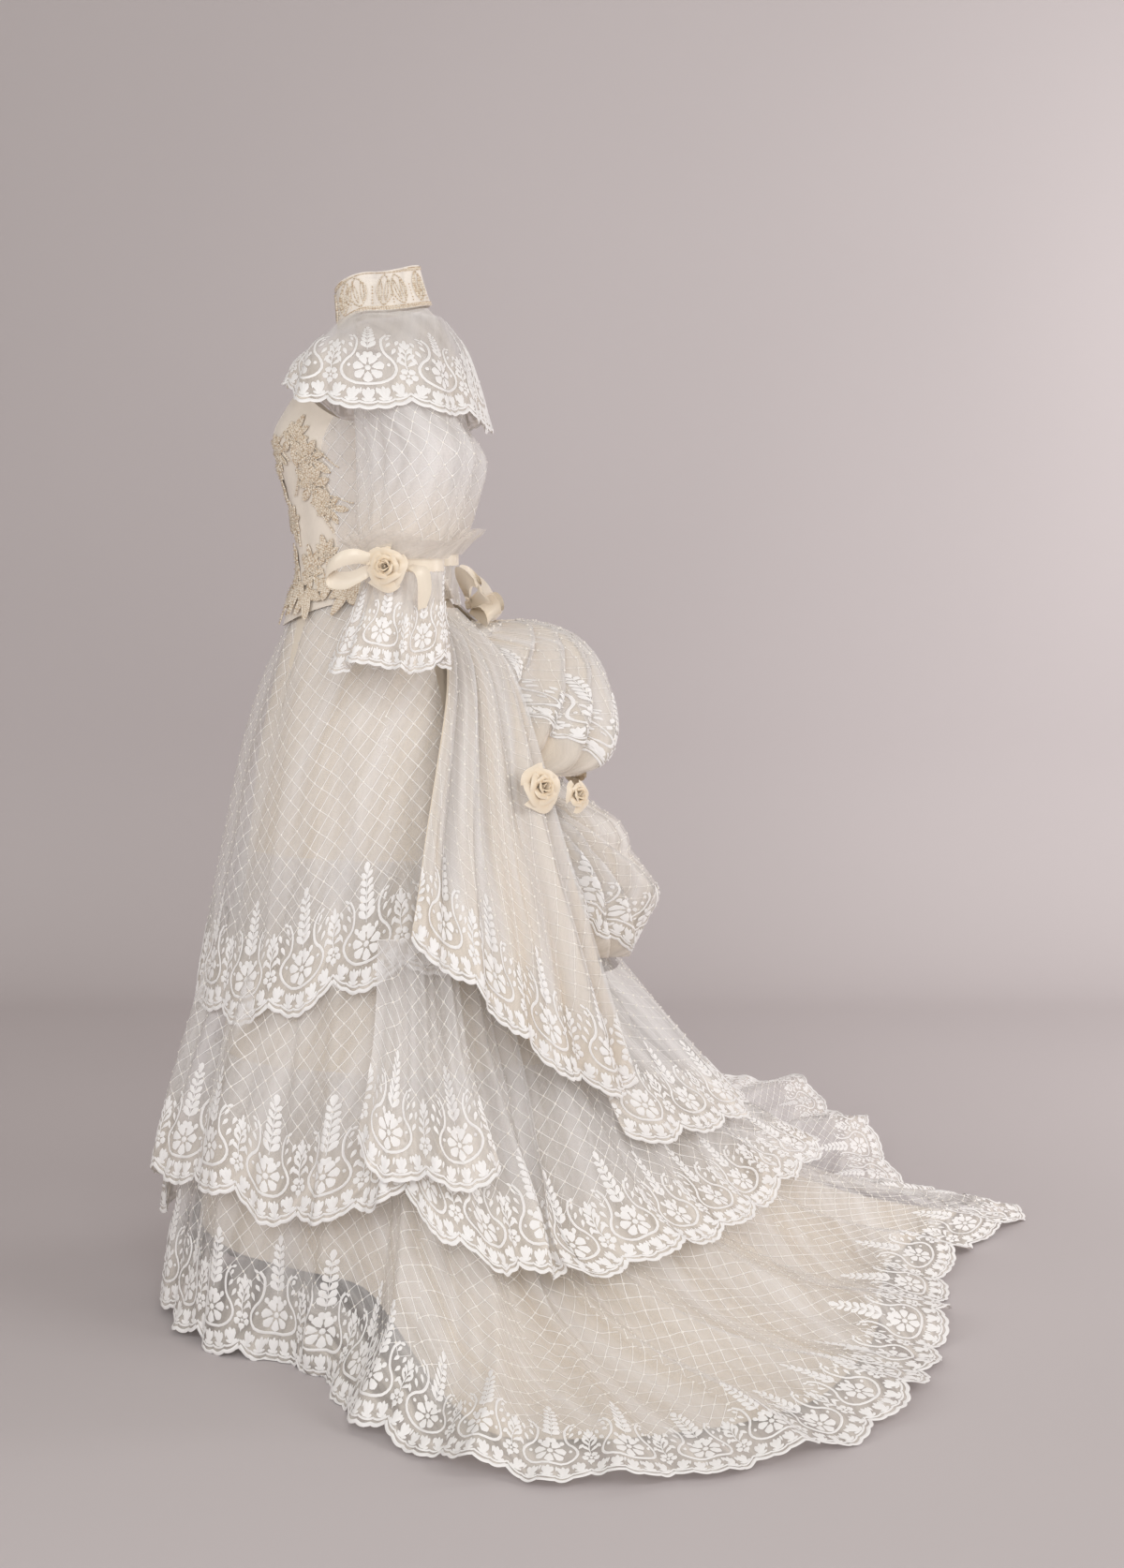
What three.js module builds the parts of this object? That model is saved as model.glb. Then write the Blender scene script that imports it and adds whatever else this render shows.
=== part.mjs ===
// A bridal gown with a high collar, lace bertha, net sleeves, tiered lace skirt,
// caught-up bustle and train, as it stands when worn, with nobody in it.
// Millimetres, +Z up. The gown faces -Y, its left side is +X and its train runs out to +Y.
// Sizes are measured from the floor under the gown; the finished group is moved so that
// its origin is the point between the shoulders from which the gown hangs.
import * as THREE from "three";

// ---------------------------------------------------------------- driving sizes
const SHOULDER_HEIGHT = 1430; // origin above the floor
const CLOTH = 1.2; // wall of one cloth layer
const SEAM = 0.3; // how far each piece's edge stays back from the seam it shares
const RIDGE_SEAM = 1.1; // the same where two pieces meet along a sharp ridge
const TRAIN_SWEEP = 460; // how far the tip of the train is drawn to the right
const TRAIN_START = 100;
const TRAIN_END = 1040;
const SWEEP_HEIGHT = 550; // above this the skirt is not drawn aside
const FAR_SPREAD = 0.24;
const FAR_RISE = 62;
const LEFT = 1;
const RIGHT = -1;

const FLOOR_LIFT = 9; // the ruling surface of the train lies this far above the floor

// Waist seam of the skirt, half width and distances to the front and back.
const WAIST = { side: 118, front: 108, back: 99 };

// Hem of the train from centre front to centre back, left half. "waist" is the angle
// round the waist, from the front, at which the cloth above that hem point is sewn on.
const HEM = [
  { x: 0, y: -280, waist: 0 },
  { x: 110, y: -262, waist: 22 },
  { x: 198, y: -205, waist: 42 },
  { x: 255, y: -115, waist: 62 },
  { x: 325, y: -32, waist: 80 },
  { x: 490, y: 24, waist: 93 },
  { x: 624, y: 102, waist: 104 },
  { x: 722, y: 200, waist: 115 },
  { x: 785, y: 320, waist: 125 },
  { x: 818, y: 440, waist: 134 },
  { x: 815, y: 570, waist: 143 },
  { x: 745, y: 690, waist: 152 },
  { x: 600, y: 765, waist: 160 },
  { x: 420, y: 812, waist: 167 },
  { x: 220, y: 850, waist: 173 },
  { x: 100, y: 930, waist: 177 },
  { x: 0, y: 1035, waist: 180 },
];
const STATIONS = HEM.length - 1;

// Levels of the skirt from waist to hem: at the front, side, train quarter and back,
// how far out from the waist a level lies in plan, and its height.
const LEVELS = [
  { front: 0, side: 0, quarter: 0, back: 0, frontZ: 1060, sideZ: 1060, quarterZ: 1060, backZ: 1060 },
  { front: 26, side: 32, quarter: 37, back: 45, frontZ: 960, sideZ: 960, quarterZ: 960, backZ: 960 },
  { front: 52, side: 56, quarter: 66, back: 80, frontZ: 840, sideZ: 840, quarterZ: 840, backZ: 840 },
  { front: 72, side: 75, quarter: 91, back: 125, frontZ: 690, sideZ: 690, quarterZ: 690, backZ: 690 },
  { front: 93, side: 94, quarter: 117, back: 175, frontZ: 540, sideZ: 540, quarterZ: 540, backZ: 540 },
  { front: 115, side: 114, quarter: 146, back: 245, frontZ: 400, sideZ: 400, quarterZ: 400, backZ: 400 },
  { front: 139, side: 139, quarter: 186, back: 350, frontZ: 250, sideZ: 250, quarterZ: 250, backZ: 250 },
  { front: 157, side: 163, quarter: 256, back: 520, frontZ: 135, sideZ: 130, quarterZ: 105, backZ: 125 },
  { front: 165, side: 178, quarter: 424, back: 733, frontZ: 78, sideZ: 60, quarterZ: 28, backZ: 48 },
  { front: 172, side: 195, quarter: 730, back: 936, frontZ: 28, sideZ: 3, quarterZ: FLOOR_LIFT, backZ: FLOOR_LIFT },
];
const HEM_LEVEL = LEVELS.length - 1;
const KINDS = [
  { kind: "front", station: 0 },
  { kind: "side", station: 4 },
  { kind: "quarter", station: 9 },
  { kind: "back", station: STATIONS },
];

// ---------------------------------------------------------------- materials
const finish = (color, roughness) =>
  new THREE.MeshStandardMaterial({ color, roughness, metalness: 0, side: THREE.DoubleSide });
const LACE = finish("#f3eee4", 0.85);
const NET = finish("#f6f3ee", 0.9);
const SATIN = finish("#ead9bd", 0.45);
const RIBBON = finish("#f3e5cb", 0.35);
const BEADED = finish("#efe6d6", 0.6);

// ---------------------------------------------------------------- curves
const clamp = (t, low = 0, high = 1) => Math.min(high, Math.max(low, t));
const mix = (a, b, t) => a + (b - a) * t;
const smooth = (t) => clamp(t) ** 2 * (3 - 2 * clamp(t));
const ease = (from, to, t) => smooth((t - from) / (to - from));

const catmull = (a, b, c, d, t) =>
  b + 0.5 * t * (c - a + t * (2 * a - 5 * b + 4 * c - d + t * (3 * (b - c) + d - a)));

// The value of a table's column at a place counted in rows, on a smooth curve through the rows.
function column(table, name, place) {
  const last = table.length - 1;
  const at = clamp(place, 0, last);
  const i = Math.min(Math.floor(at), last - 1);
  const value = (k) => {
    if (k < 0) return 2 * table[0][name] - table[1][name];
    if (k > last) return 2 * table[last][name] - table[last - 1][name];
    return table[k][name];
  };
  return catmull(value(i - 1), value(i), value(i + 1), value(i + 2), at - i);
}

// The same for a column that is mirrored at both ends of the table (odd: it changes sign there).
function mirrored(table, name, place, odd) {
  const last = table.length - 1;
  const value = (k) => {
    if (k < 0) return (odd ? -1 : 1) * table[-k][name];
    if (k > last) return (odd ? -1 : 1) * table[2 * last - k][name];
    return table[k][name];
  };
  const i = Math.min(Math.floor(place), last - 1);
  return catmull(value(i - 1), value(i), value(i + 1), value(i + 2), place - i);
}

// Linear value at x in a list of [x, value] pairs.
function along(pairs, x) {
  const i = pairs.findIndex(([at]) => at >= x);
  if (i === 0) return pairs[0][1];
  if (i < 0) return pairs[pairs.length - 1][1];
  const [x0, v0] = pairs[i - 1];
  const [x1, v1] = pairs[i];
  return mix(v0, v1, smooth((x - x0) / (x1 - x0)));
}

// ---------------------------------------------------------------- cloth walls
// A wall of cloth: place(u, v) gives its outer face, and the inner face lies "thick" behind it.
// closed joins the last column to the first. Columns run so that cross(dv, du) points out.
function cloth(name, material, { cols, rows, closed = false, thick = CLOTH, relief, trim = 0 }, place) {
  const wide = closed ? cols : cols + 1;
  const face = [];
  for (let j = 0; j <= rows; j++)
    for (let i = 0; i < wide; i++) face.push(place(i / cols, j / rows));
  if (trim)
    for (let j = 0; j <= rows; j++) {
      const row = j * wide;
      pullIn(face[row], face[row + 1], trim);
      pullIn(face[row + wide - 1], face[row + wide - 2], trim);
    }
  const at = (i, j) => {
    const k = closed ? (i + wide) % wide : clamp(i, 0, wide - 1);
    return face[clamp(j, 0, rows) * wide + k];
  };
  const outer = [];
  const inner = [];
  for (let j = 0; j <= rows; j++)
    for (let i = 0; i < wide; i++) {
      const du = at(i + 1, j).clone().sub(at(i - 1, j));
      const dv = at(i, j + 1).clone().sub(at(i, j - 1));
      const normal = dv.cross(du).normalize();
      const raise = relief ? relief(i / cols, j / rows) : 0;
      outer.push(at(i, j).clone().addScaledVector(normal, raise));
      inner.push(at(i, j).clone().addScaledVector(normal, -thick));
    }
  const points = [...outer, ...inner];
  const behind = outer.length;
  const faces = [];
  const quad = (a, b, c, d) => faces.push(a, b, c, a, c, d);
  const index = (i, j) => j * wide + (closed ? i % wide : i);
  for (let j = 0; j < rows; j++)
    for (let i = 0; i < cols; i++) {
      const [a, b, c, d] = [index(i, j), index(i, j + 1), index(i + 1, j + 1), index(i + 1, j)];
      quad(a, b, c, d);
      quad(behind + a, behind + d, behind + c, behind + b);
    }
  for (let i = 0; i < cols; i++) {
    const [a, b] = [index(i, 0), index(i + 1, 0)];
    quad(a, b, behind + b, behind + a);
    const [c, d] = [index(i, rows), index(i + 1, rows)];
    quad(d, c, behind + c, behind + d);
  }
  if (!closed)
    for (let j = 0; j < rows; j++) {
      const [a, b] = [index(0, j), index(0, j + 1)];
      quad(b, a, behind + a, behind + b);
      const [c, d] = [index(cols, j), index(cols, j + 1)];
      quad(c, d, behind + d, behind + c);
    }
  return solid(name, material, points, faces);
}

function pullIn(edge, next, distance) {
  edge.addScaledVector(next.clone().sub(edge).normalize(), distance);
}

function solid(name, material, points, faces) {
  const geometry = new THREE.BufferGeometry();
  geometry.setAttribute("position", new THREE.Float32BufferAttribute(points.flatMap((p) => [p.x, p.y, p.z]), 3));
  geometry.setIndex(faces);
  geometry.computeVertexNormals();
  const mesh = new THREE.Mesh(geometry, material);
  mesh.name = name;
  return mesh;
}

// ---------------------------------------------------------------- the skirt's ruling surface
// w runs once round the skirt from the centre front over the left side, 0 to 1; level runs
// from 0 at the waist to HEM_LEVEL at the hem. Every skirt layer is this surface, lifted.
function betweenKinds(station, value) {
  const k = KINDS.findIndex((row) => row.station >= station);
  const [low, high] = [KINDS[Math.max(0, k - 1)], KINDS[Math.max(1, k)]];
  const t = smooth((station - low.station) / (high.station - low.station));
  return mix(value(low.kind), value(high.kind), t);
}

const levelValue = (suffix, level, station) => betweenKinds(station, (kind) => column(LEVELS, kind + suffix, level));

// A level's distance from the waist as a share of the whole plan path. Low levels stretch
// with the path of their own station, high ones keep their distance.
function planShare(level, station, reach) {
  const stretch = ease(4.5, HEM_LEVEL, level);
  return betweenKinds(station, (kind) => {
    const full = LEVELS[HEM_LEVEL][kind];
    return column(LEVELS, kind, level) * mix(1 / reach, 1 / full, stretch);
  });
}

function hemPoint(station) {
  return new THREE.Vector2(mirrored(HEM, "x", station, true), mirrored(HEM, "y", station, false));
}

function rulingPoint(w, level) {
  const turn = w - Math.floor(w);
  const side = turn <= 0.5 ? LEFT : RIGHT;
  const station = STATIONS * (1 - Math.abs(1 - 2 * turn));
  const angle = THREE.MathUtils.degToRad(column(HEM, "waist", station));
  const depth = Math.cos(angle) > 0 ? WAIST.front : WAIST.back;
  const waist = new THREE.Vector2(WAIST.side * Math.sin(angle), -depth * Math.cos(angle));
  const hem = hemPoint(station);
  const step = 0.25;
  const tangent = hemPoint(Math.min(station + step, STATIONS)).sub(hemPoint(Math.max(station - step, 0)));
  const inward = new THREE.Vector2(-tangent.y, tangent.x).normalize();
  const direct = waist.clone().sub(hem);
  const reach = direct.length();
  const squareness = 0.5 * ease(0.5, 5, station) * (1 - ease(10, 15.8, station));
  const aim = direct.normalize().lerp(inward, squareness).normalize();
  const bend = hem.clone().addScaledVector(aim, reach * 0.4);
  const t = planShare(level, station, reach);
  const z = levelValue("Z", level, station);
  const plan = waist.multiplyScalar((1 - t) ** 2).addScaledVector(bend, 2 * t * (1 - t)).addScaledVector(hem, t * t);
  return new THREE.Vector3(side * plan.x, plan.y, z);
}

// The train is drawn to the right, more and more towards its tip, and its right half is
// spread wider and stands on its folds, off the floor.
function swept(p) {
  const low = 1 - ease(150, 400, p.z);
  p.z += FAR_RISE * low * ease(120, 450, -p.x) * ease(350, 600, p.y) * (1 - ease(800, 980, p.y));
  p.x *= 1 + FAR_SPREAD * low * ease(350, 850, -p.x) * (1 - ease(700, 1000, p.y));
  const out = clamp((p.y - TRAIN_START) / (TRAIN_END - TRAIN_START), 0, 1.2) ** 1.35;
  p.x -= TRAIN_SWEEP * out * (1 - ease(100, SWEEP_HEIGHT, p.z));
  return p;
}

function liftedPoint(w, level, lift) {
  const e = 0.004;
  const du = rulingPoint(w + e, level).sub(rulingPoint(w - e, level));
  const dv = rulingPoint(w, Math.min(level + 0.1, HEM_LEVEL)).sub(rulingPoint(w, Math.max(level - 0.1, 0)));
  const normal = dv.cross(du).normalize();
  return rulingPoint(w, level).addScaledVector(normal, lift);
}

// An uneven ripple from 0 to 1 round the skirt, "count" folds in a full turn.
function ripple(w, count, seed) {
  const wander = 1.1 * Math.sin(2 * Math.PI * 5 * w + seed) + 0.7 * Math.sin(2 * Math.PI * 11 * w + 2.3 * seed);
  return 0.5 + 0.5 * Math.sin(2 * Math.PI * count * w + wander);
}

const stationTurn = (station, side) => (side === LEFT ? station / (2 * STATIONS) : 1 - station / (2 * STATIONS));
const turnStation = (w) => STATIONS * (1 - Math.abs(1 - 2 * (w - Math.floor(w))));

// Rows lie on whole levels, so that layers share their facets, and crowd above a high hem.
// "skip" leaves out that many levels below the top.
function rowLevel(top, hem, v, rows, skip = 0) {
  const row = Math.round(v * rows);
  if (row === 0) return top;
  return Math.min(Math.floor(top + 0.001) + row + skip, hem - (rows - row) * 0.3);
}

// A skirt layer between two turns and two level tables, with its lift and fold depth by level.
function skirtLayer(name, material, size, { from, to, top, hem, lift, depth, count, seed, skip }) {
  return cloth(name, material, size, (u, v) => {
    const w = mix(from, to, u);
    const station = turnStation(w);
    const side = w - Math.floor(w) <= 0.5 ? LEFT : RIGHT;
    const low = along(side === RIGHT && hem.right ? hem.right : hem.left, station);
    const level = rowLevel(along(top, station), low, v, size.rows, skip);
    const base = lift(level, station);
    const folds = depth(level, station) * ripple(w, count, seed);
    const p = swept(liftedPoint(w, level, base + folds));
    p.z = Math.max(p.z, CLOTH);
    return p;
  });
}

// ---------------------------------------------------------------- skirt pieces
const onFloor = (station) => ease(4, 8, station);

// The satin underskirt: a front gore and two back gores that meet at the centre back.
function liningPieces() {
  const layer = {
    skip: 1,
    top: [[0, 0]],
    hem: {
      left: [[0, 6.9], [4, 7.1], [7, 8.5], [12, 8.6], [16, 8.3]],
      right: [[0, 6.9], [4, 7.1], [7, 7.6], [12, 7.7], [16, 8.3]],
    },
    lift: (level) => -4 * ease(2, 4, level),
    depth: () => 0,
    count: 1,
    seed: 0,
  };
  const gore = stationTurn(4, LEFT);
  const size = { cols: 12, rows: 8, thick: 1, trim: RIDGE_SEAM };
  return [
    skirtLayer("lining_front", SATIN, size, { ...layer, from: -gore, to: gore }),
    skirtLayer("lining_left", SATIN, size, { ...layer, from: gore, to: 0.5 }),
    skirtLayer("lining_right", SATIN, size, { ...layer, from: 0.5, to: 1 - gore }),
  ];
}

// The lowest lace skirt is sewn to the underskirt at knee height and makes the train.
function trainPieces() {
  const layer = {
    top: [[0, 5]],
    hem: { left: [[0, HEM_LEVEL]] },
    lift: (level, station) => {
      const hanging = mix(4, 14, ease(5, 6.2, level));
      const lying = mix(8, 1 - FLOOR_LIFT, ease(8.4, HEM_LEVEL, level));
      return mix(hanging, lying, onFloor(station) * ease(5, 8, level));
    },
    depth: (level, station) => mix(24, 20, onFloor(station)) * ease(5, HEM_LEVEL, level) ** 0.8,
    count: 30,
    seed: 1.7,
  };
  const front = stationTurn(3.4, LEFT);
  return [
    skirtLayer("train_front", LACE, { cols: 28, rows: 4, trim: SEAM }, { ...layer, from: -front, to: front }),
    skirtLayer("train_left", LACE, { cols: 42, rows: 4, trim: SEAM }, { ...layer, from: front, to: 0.5 }),
    skirtLayer("train_right", LACE, { cols: 42, rows: 4, trim: SEAM }, { ...layer, from: 0.5, to: 1 - front }),
  ];
}

// The second tier: front, a panel at each side and the back in two halves.
function secondTier() {
  const top = [[0, 3]];
  const lift = (extra) => (level) => mix(4, 48 + extra, ease(3, 6.2, level));
  const depth = (level) => 24 * ease(3, 6.4, level);
  const front = {
    top,
    hem: {
      left: [[0, 6.25], [1, 6.15], [2.2, 6.05], [3.2, 6.3], [4.2, 6.2], [5.4, 6.0]],
      right: [[0, 6.3], [0.4, 7.1], [1.5, 7.0], [2.3, 6.2], [5.4, 6.1]],
    },
    lift: lift(0),
    depth,
    count: 34,
    seed: 0.4,
  };
  const back = {
    top,
    hem: { left: [[5.4, 6.05], [6.2, 6.5], [7, 6.75], [9, 6.95], [13, 7.05], [16, 6.85]] },
    lift: (level, station) => mix(4, mix(46, 50, ease(8, 14, station)), ease(3.2, 6.6, level)),
    depth: (level) => 22 * ease(3, 6.6, level),
    count: 30,
    seed: 2.9,
  };
  const pieces = [];
  const edge = stationTurn(5.4, LEFT);
  pieces.push(skirtLayer("tier2_front", LACE, { cols: 36, rows: 3, trim: SEAM }, { ...front, from: -edge, to: edge }));
  for (const [word, side] of [["left", LEFT], ["right", RIGHT]]) {
    const turns = [stationTurn(5.4, side), 0.5];
    if (side === RIGHT) turns.reverse();
    pieces.push(skirtLayer("tier2_back_" + word, LACE, { cols: 22, rows: 4, trim: SEAM }, { ...back, from: turns[0], to: turns[1] }));
    const panel = [stationTurn(4.6, side), stationTurn(7.2, side)];
    if (side === RIGHT) panel.reverse();
    pieces.push(
      skirtLayer("tier2_side_" + word, LACE, { cols: 10, rows: 2 }, {
        from: panel[0],
        to: panel[1],
        top: [[0, 3.7]],
        hem: { left: [[4.6, 5.55], [5.2, 5.85], [6.3, 6.0], [7.2, 5.95]] },
        lift: (level) => mix(44, 76, ease(3.7, 5.6, level)),
        depth: (level) => 16 * ease(3.2, 5.8, level),
        count: 34,
        seed: 5.1,
      }),
    );
  }
  return pieces;
}

// The first tier is an apron over the front, from the waist to above the knee.
function apron() {
  const edge = stationTurn(8.2, LEFT);
  return skirtLayer("apron", LACE, { cols: 36, rows: 4 }, {
    from: -edge,
    to: edge,
    top: [[0, 0.04]],
    hem: { left: [[0, 4.6], [1, 4.45], [2, 4.5], [3, 4.35], [3.8, 4.1], [5.2, 3.9]] },
    lift: (level) => mix(3, 32, ease(0, 4.6, level)),
    depth: (level) => 9 * ease(0, 4.4, level),
    count: 40,
    seed: 3.3,
  });
}

// ---------------------------------------------------------------- drapes over the hips and back
// Angles are in degrees round the gown's axis, from the left side (0) to the back (90).
const polar = (angle, radius, z) =>
  new THREE.Vector3(
    radius * Math.cos(THREE.MathUtils.degToRad(angle)),
    radius * Math.sin(THREE.MathUtils.degToRad(angle)),
    z,
  );

const mirror = (p) => new THREE.Vector3(-p.x, p.y, p.z);

// Side drape: its front and back edge from the waist down to its hem.
const HIP_DRAPE = [
  { frontAngle: 44, front: 127, frontZ: 1036, backAngle: 62, back: 137, backZ: 1034, fold: 0 },
  { frontAngle: 38, front: 176, frontZ: 966, backAngle: 61, back: 217, backZ: 958, fold: 5 },
  { frontAngle: 26, front: 230, frontZ: 850, backAngle: 56, back: 277, backZ: 850, fold: 8 },
  { frontAngle: 19, front: 264, frontZ: 750, backAngle: 55, back: 318, backZ: 735, fold: 10 },
  { frontAngle: 15, front: 292, frontZ: 670, backAngle: 57, back: 362, backZ: 590, fold: 12 },
  { frontAngle: 12, front: 314, frontZ: 600, backAngle: 59, back: 425, backZ: 382, fold: 14 },
];

function hipDrape(word, side) {
  const place = (u, v) => {
    const row = v * (HIP_DRAPE.length - 1);
    const get = (name) => column(HIP_DRAPE, name, row);
    const across = side === LEFT ? u : 1 - u;
    const sag = 22 * Math.sin(Math.PI * across) * v;
    const radius = mix(get("front"), get("back"), across) + get("fold") * ripple(across, 5, 1.1);
    const z = mix(get("frontZ"), get("backZ"), smooth(across)) - sag;
    const p = polar(mix(get("frontAngle"), get("backAngle"), across), radius, z);
    return swept(side === LEFT ? p : mirror(p));
  };
  return cloth("hip_drape_" + word, LACE, { cols: 15, rows: 6 }, place);
}

// Bustle puffs and the back drape run from the left edge round the back to the right edge.
const UPPER_PUFF = [
  { edge: 74, edgeR: 128, edgeZ: 1014, midR: 150, midZ: 1004, fold: 1 },
  { edge: 66, edgeR: 142, edgeZ: 1006, midR: 208, midZ: 1015, fold: 8 },
  { edge: 60, edgeR: 160, edgeZ: 982, midR: 266, midZ: 996, fold: 12 },
  { edge: 57, edgeR: 186, edgeZ: 940, midR: 308, midZ: 946, fold: 13 },
  { edge: 55, edgeR: 212, edgeZ: 890, midR: 328, midZ: 893, fold: 13 },
  { edge: 54, edgeR: 236, edgeZ: 845, midR: 332, midZ: 845, fold: 12 },
  { edge: 54, edgeR: 246, edgeZ: 812, midR: 318, midZ: 808, fold: 8 },
  { edge: 55, edgeR: 248, edgeZ: 796, midR: 284, midZ: 792, fold: 3 },
];
const LOWER_PUFF = [
  { edge: 54, edgeR: 262, edgeZ: 782, midR: 268, midZ: 782, fold: 3 },
  { edge: 54, edgeR: 278, edgeZ: 766, midR: 304, midZ: 744, fold: 8 },
  { edge: 55, edgeR: 294, edgeZ: 730, midR: 352, midZ: 702, fold: 12 },
  { edge: 56, edgeR: 308, edgeZ: 690, midR: 380, midZ: 655, fold: 13 },
  { edge: 57, edgeR: 320, edgeZ: 640, midR: 388, midZ: 605, fold: 13 },
  { edge: 57, edgeR: 328, edgeZ: 590, midR: 378, midZ: 555, fold: 10 },
  { edge: 58, edgeR: 328, edgeZ: 558, midR: 358, midZ: 530, fold: 5 },
  { edge: 59, edgeR: 326, edgeZ: 548, midR: 344, midZ: 530, fold: 2 },
];
const BACK_DRAPE = [
  { edge: 60, edgeR: 338, edgeZ: 520, midR: 352, midZ: 512, fold: 2 },
  { edge: 58, edgeR: 356, edgeZ: 470, midR: 394, midZ: 462, fold: 6 },
  { edge: 56, edgeR: 376, edgeZ: 415, midR: 440, midZ: 405, fold: 8 },
  { edge: 55, edgeR: 405, edgeZ: 362, midR: 487, midZ: 345, fold: 10 },
  { edge: 55, edgeR: 436, edgeZ: 306, midR: 532, midZ: 290, fold: 12 },
];

function backPiece(name, table, size, { count, seed, gather = 1 }) {
  const place = (u, v) => {
    const row = v * (table.length - 1);
    const get = (key) => column(table, key, row);
    const bow = Math.sin(Math.PI * u) ** gather;
    const folds = get("fold") * ripple(u, count, seed) * Math.min(1, 4 * Math.sin(Math.PI * u));
    const radius = mix(get("edgeR"), get("midR"), bow) + folds;
    const p = polar(mix(get("edge"), 180 - get("edge"), u), radius, mix(get("edgeZ"), get("midZ"), bow));
    return swept(p);
  };
  return cloth(name, LACE, size, place);
}

// ---------------------------------------------------------------- bodice, yoke, collar, bertha
// Rings round the body: distances to the front, side and back, their heights, and how square
// the ring is (1 is an ellipse).
const BODICE = [
  { front: 103, side: 150, back: 122, frontZ: 1350, sideZ: 1292, backZ: 1345, square: 0.9 },
  { front: 128, side: 154, back: 121, frontZ: 1312, sideZ: 1275, backZ: 1310, square: 0.9 },
  { front: 143, side: 154, back: 117, frontZ: 1280, sideZ: 1255, backZ: 1270, square: 0.9 },
  { front: 138, side: 146, back: 111, frontZ: 1240, sideZ: 1228, backZ: 1228, square: 0.92 },
  { front: 125, side: 136, back: 104, frontZ: 1195, sideZ: 1190, backZ: 1190, square: 0.95 },
  { front: 117, side: 125, back: 97, frontZ: 1145, sideZ: 1142, backZ: 1142, square: 1 },
  { front: 111, side: 119, back: 95, frontZ: 1095, sideZ: 1095, backZ: 1095, square: 1 },
  { front: 116, side: 125, back: 105, frontZ: 1060, sideZ: 1066, backZ: 1066, square: 1 },
  { front: 134, side: 131, back: 112, frontZ: 1006, sideZ: 1046, backZ: 1046, square: 1 },
];
const YOKE = [
  { front: 47, side: 61, back: 79, frontZ: 1425, sideZ: 1448, backZ: 1460, square: 1 },
  { front: 66, side: 104, back: 99, frontZ: 1404, sideZ: 1438, backZ: 1434, square: 1 },
  { front: 84, side: 146, back: 118, frontZ: 1378, sideZ: 1412, backZ: 1392, square: 0.9 },
  { front: 97, side: 162, back: 121, frontZ: 1356, sideZ: 1390, backZ: 1352, square: 0.85 },
];
const COLLAR = [
  { front: 53, side: 55, back: 60, frontZ: 1490, sideZ: 1506, backZ: 1520, square: 1 },
  { front: 52, side: 58, back: 70, frontZ: 1460, sideZ: 1478, backZ: 1491, square: 1 },
  { front: 49, side: 63, back: 81, frontZ: 1428, sideZ: 1451, backZ: 1463, square: 1 },
];
const BERTHA = [
  { front: 79, side: 98, back: 99, frontZ: 1398, sideZ: 1450, backZ: 1446, square: 1 },
  { front: 92, side: 172, back: 130, frontZ: 1384, sideZ: 1424, backZ: 1402, square: 0.85 },
  { front: 101, side: 256, back: 146, frontZ: 1370, sideZ: 1394, backZ: 1354, square: 0.7 },
  { front: 109, side: 324, back: 160, frontZ: 1354, sideZ: 1316, backZ: 1300, square: 0.6 },
];

function ringPoint(table, turn, v, out = 0) {
  const row = v * (table.length - 1);
  const get = (name) => column(table, name, row);
  const angle = 2 * Math.PI * turn;
  const [sin, cos] = [Math.sin(angle), Math.cos(angle)];
  const end = cos > 0 ? "front" : "back";
  const square = get("square");
  const x = (get("side") + out) * Math.sign(sin) * Math.abs(sin) ** square;
  const y = -(get(end) + out) * Math.sign(cos) * Math.abs(cos) ** square;
  return new THREE.Vector3(x, y, mix(get("sideZ"), get(end + "Z"), cos * cos));
}

// A piece of a ring stack between two turns, counted from the centre front over the left.
function ringPiece(name, material, size, table, from, to, { relief, wave } = {}) {
  return cloth(name, material, { ...size, relief }, (u, v) => {
    const turn = mix(from, to, u);
    return ringPoint(table, turn, v, wave ? wave(turn, v) : 0);
  });
}

// Leaves of beaded lace raised on the bodice front: turn, share of its height, lean, size.
const LEAVES = [
  { turn: -0.12, at: 0.2, lean: 0.5, long: 46, wide: 20 },
  { turn: 0.12, at: 0.22, lean: -0.5, long: 46, wide: 20 },
  { turn: 0, at: 0.3, lean: 0.1, long: 50, wide: 24 },
  { turn: -0.07, at: 0.42, lean: -0.6, long: 40, wide: 18 },
  { turn: 0.08, at: 0.4, lean: 0.7, long: 44, wide: 20 },
  { turn: 0.13, at: 0.5, lean: 0.2, long: 46, wide: 18 },
  { turn: -0.13, at: 0.52, lean: -0.2, long: 46, wide: 18 },
  { turn: 0.02, at: 0.55, lean: -0.4, long: 44, wide: 18 },
  { turn: -0.05, at: 0.68, lean: 0.3, long: 48, wide: 20 },
  { turn: 0.07, at: 0.7, lean: -0.3, long: 48, wide: 20 },
  { turn: 0, at: 0.86, lean: 0, long: 56, wide: 26 },
  { turn: 0.14, at: 0.88, lean: 0.4, long: 44, wide: 20 },
  { turn: -0.14, at: 0.88, lean: -0.4, long: 44, wide: 20 },
];
const BODICE_ROUND = 800;
const BODICE_HEIGHT = 340;
const LEAF_RISE = 3;

function leafRelief(turn, v) {
  const rises = LEAVES.map((leaf) => {
    const across = (turn - leaf.turn) * BODICE_ROUND;
    const down = (v - leaf.at) * BODICE_HEIGHT;
    const x = across * Math.cos(leaf.lean) + down * Math.sin(leaf.lean);
    const y = down * Math.cos(leaf.lean) - across * Math.sin(leaf.lean);
    return LEAF_RISE * (1 - smooth(Math.hypot(x / leaf.wide, y / leaf.long)));
  });
  return Math.max(...rises);
}

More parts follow.
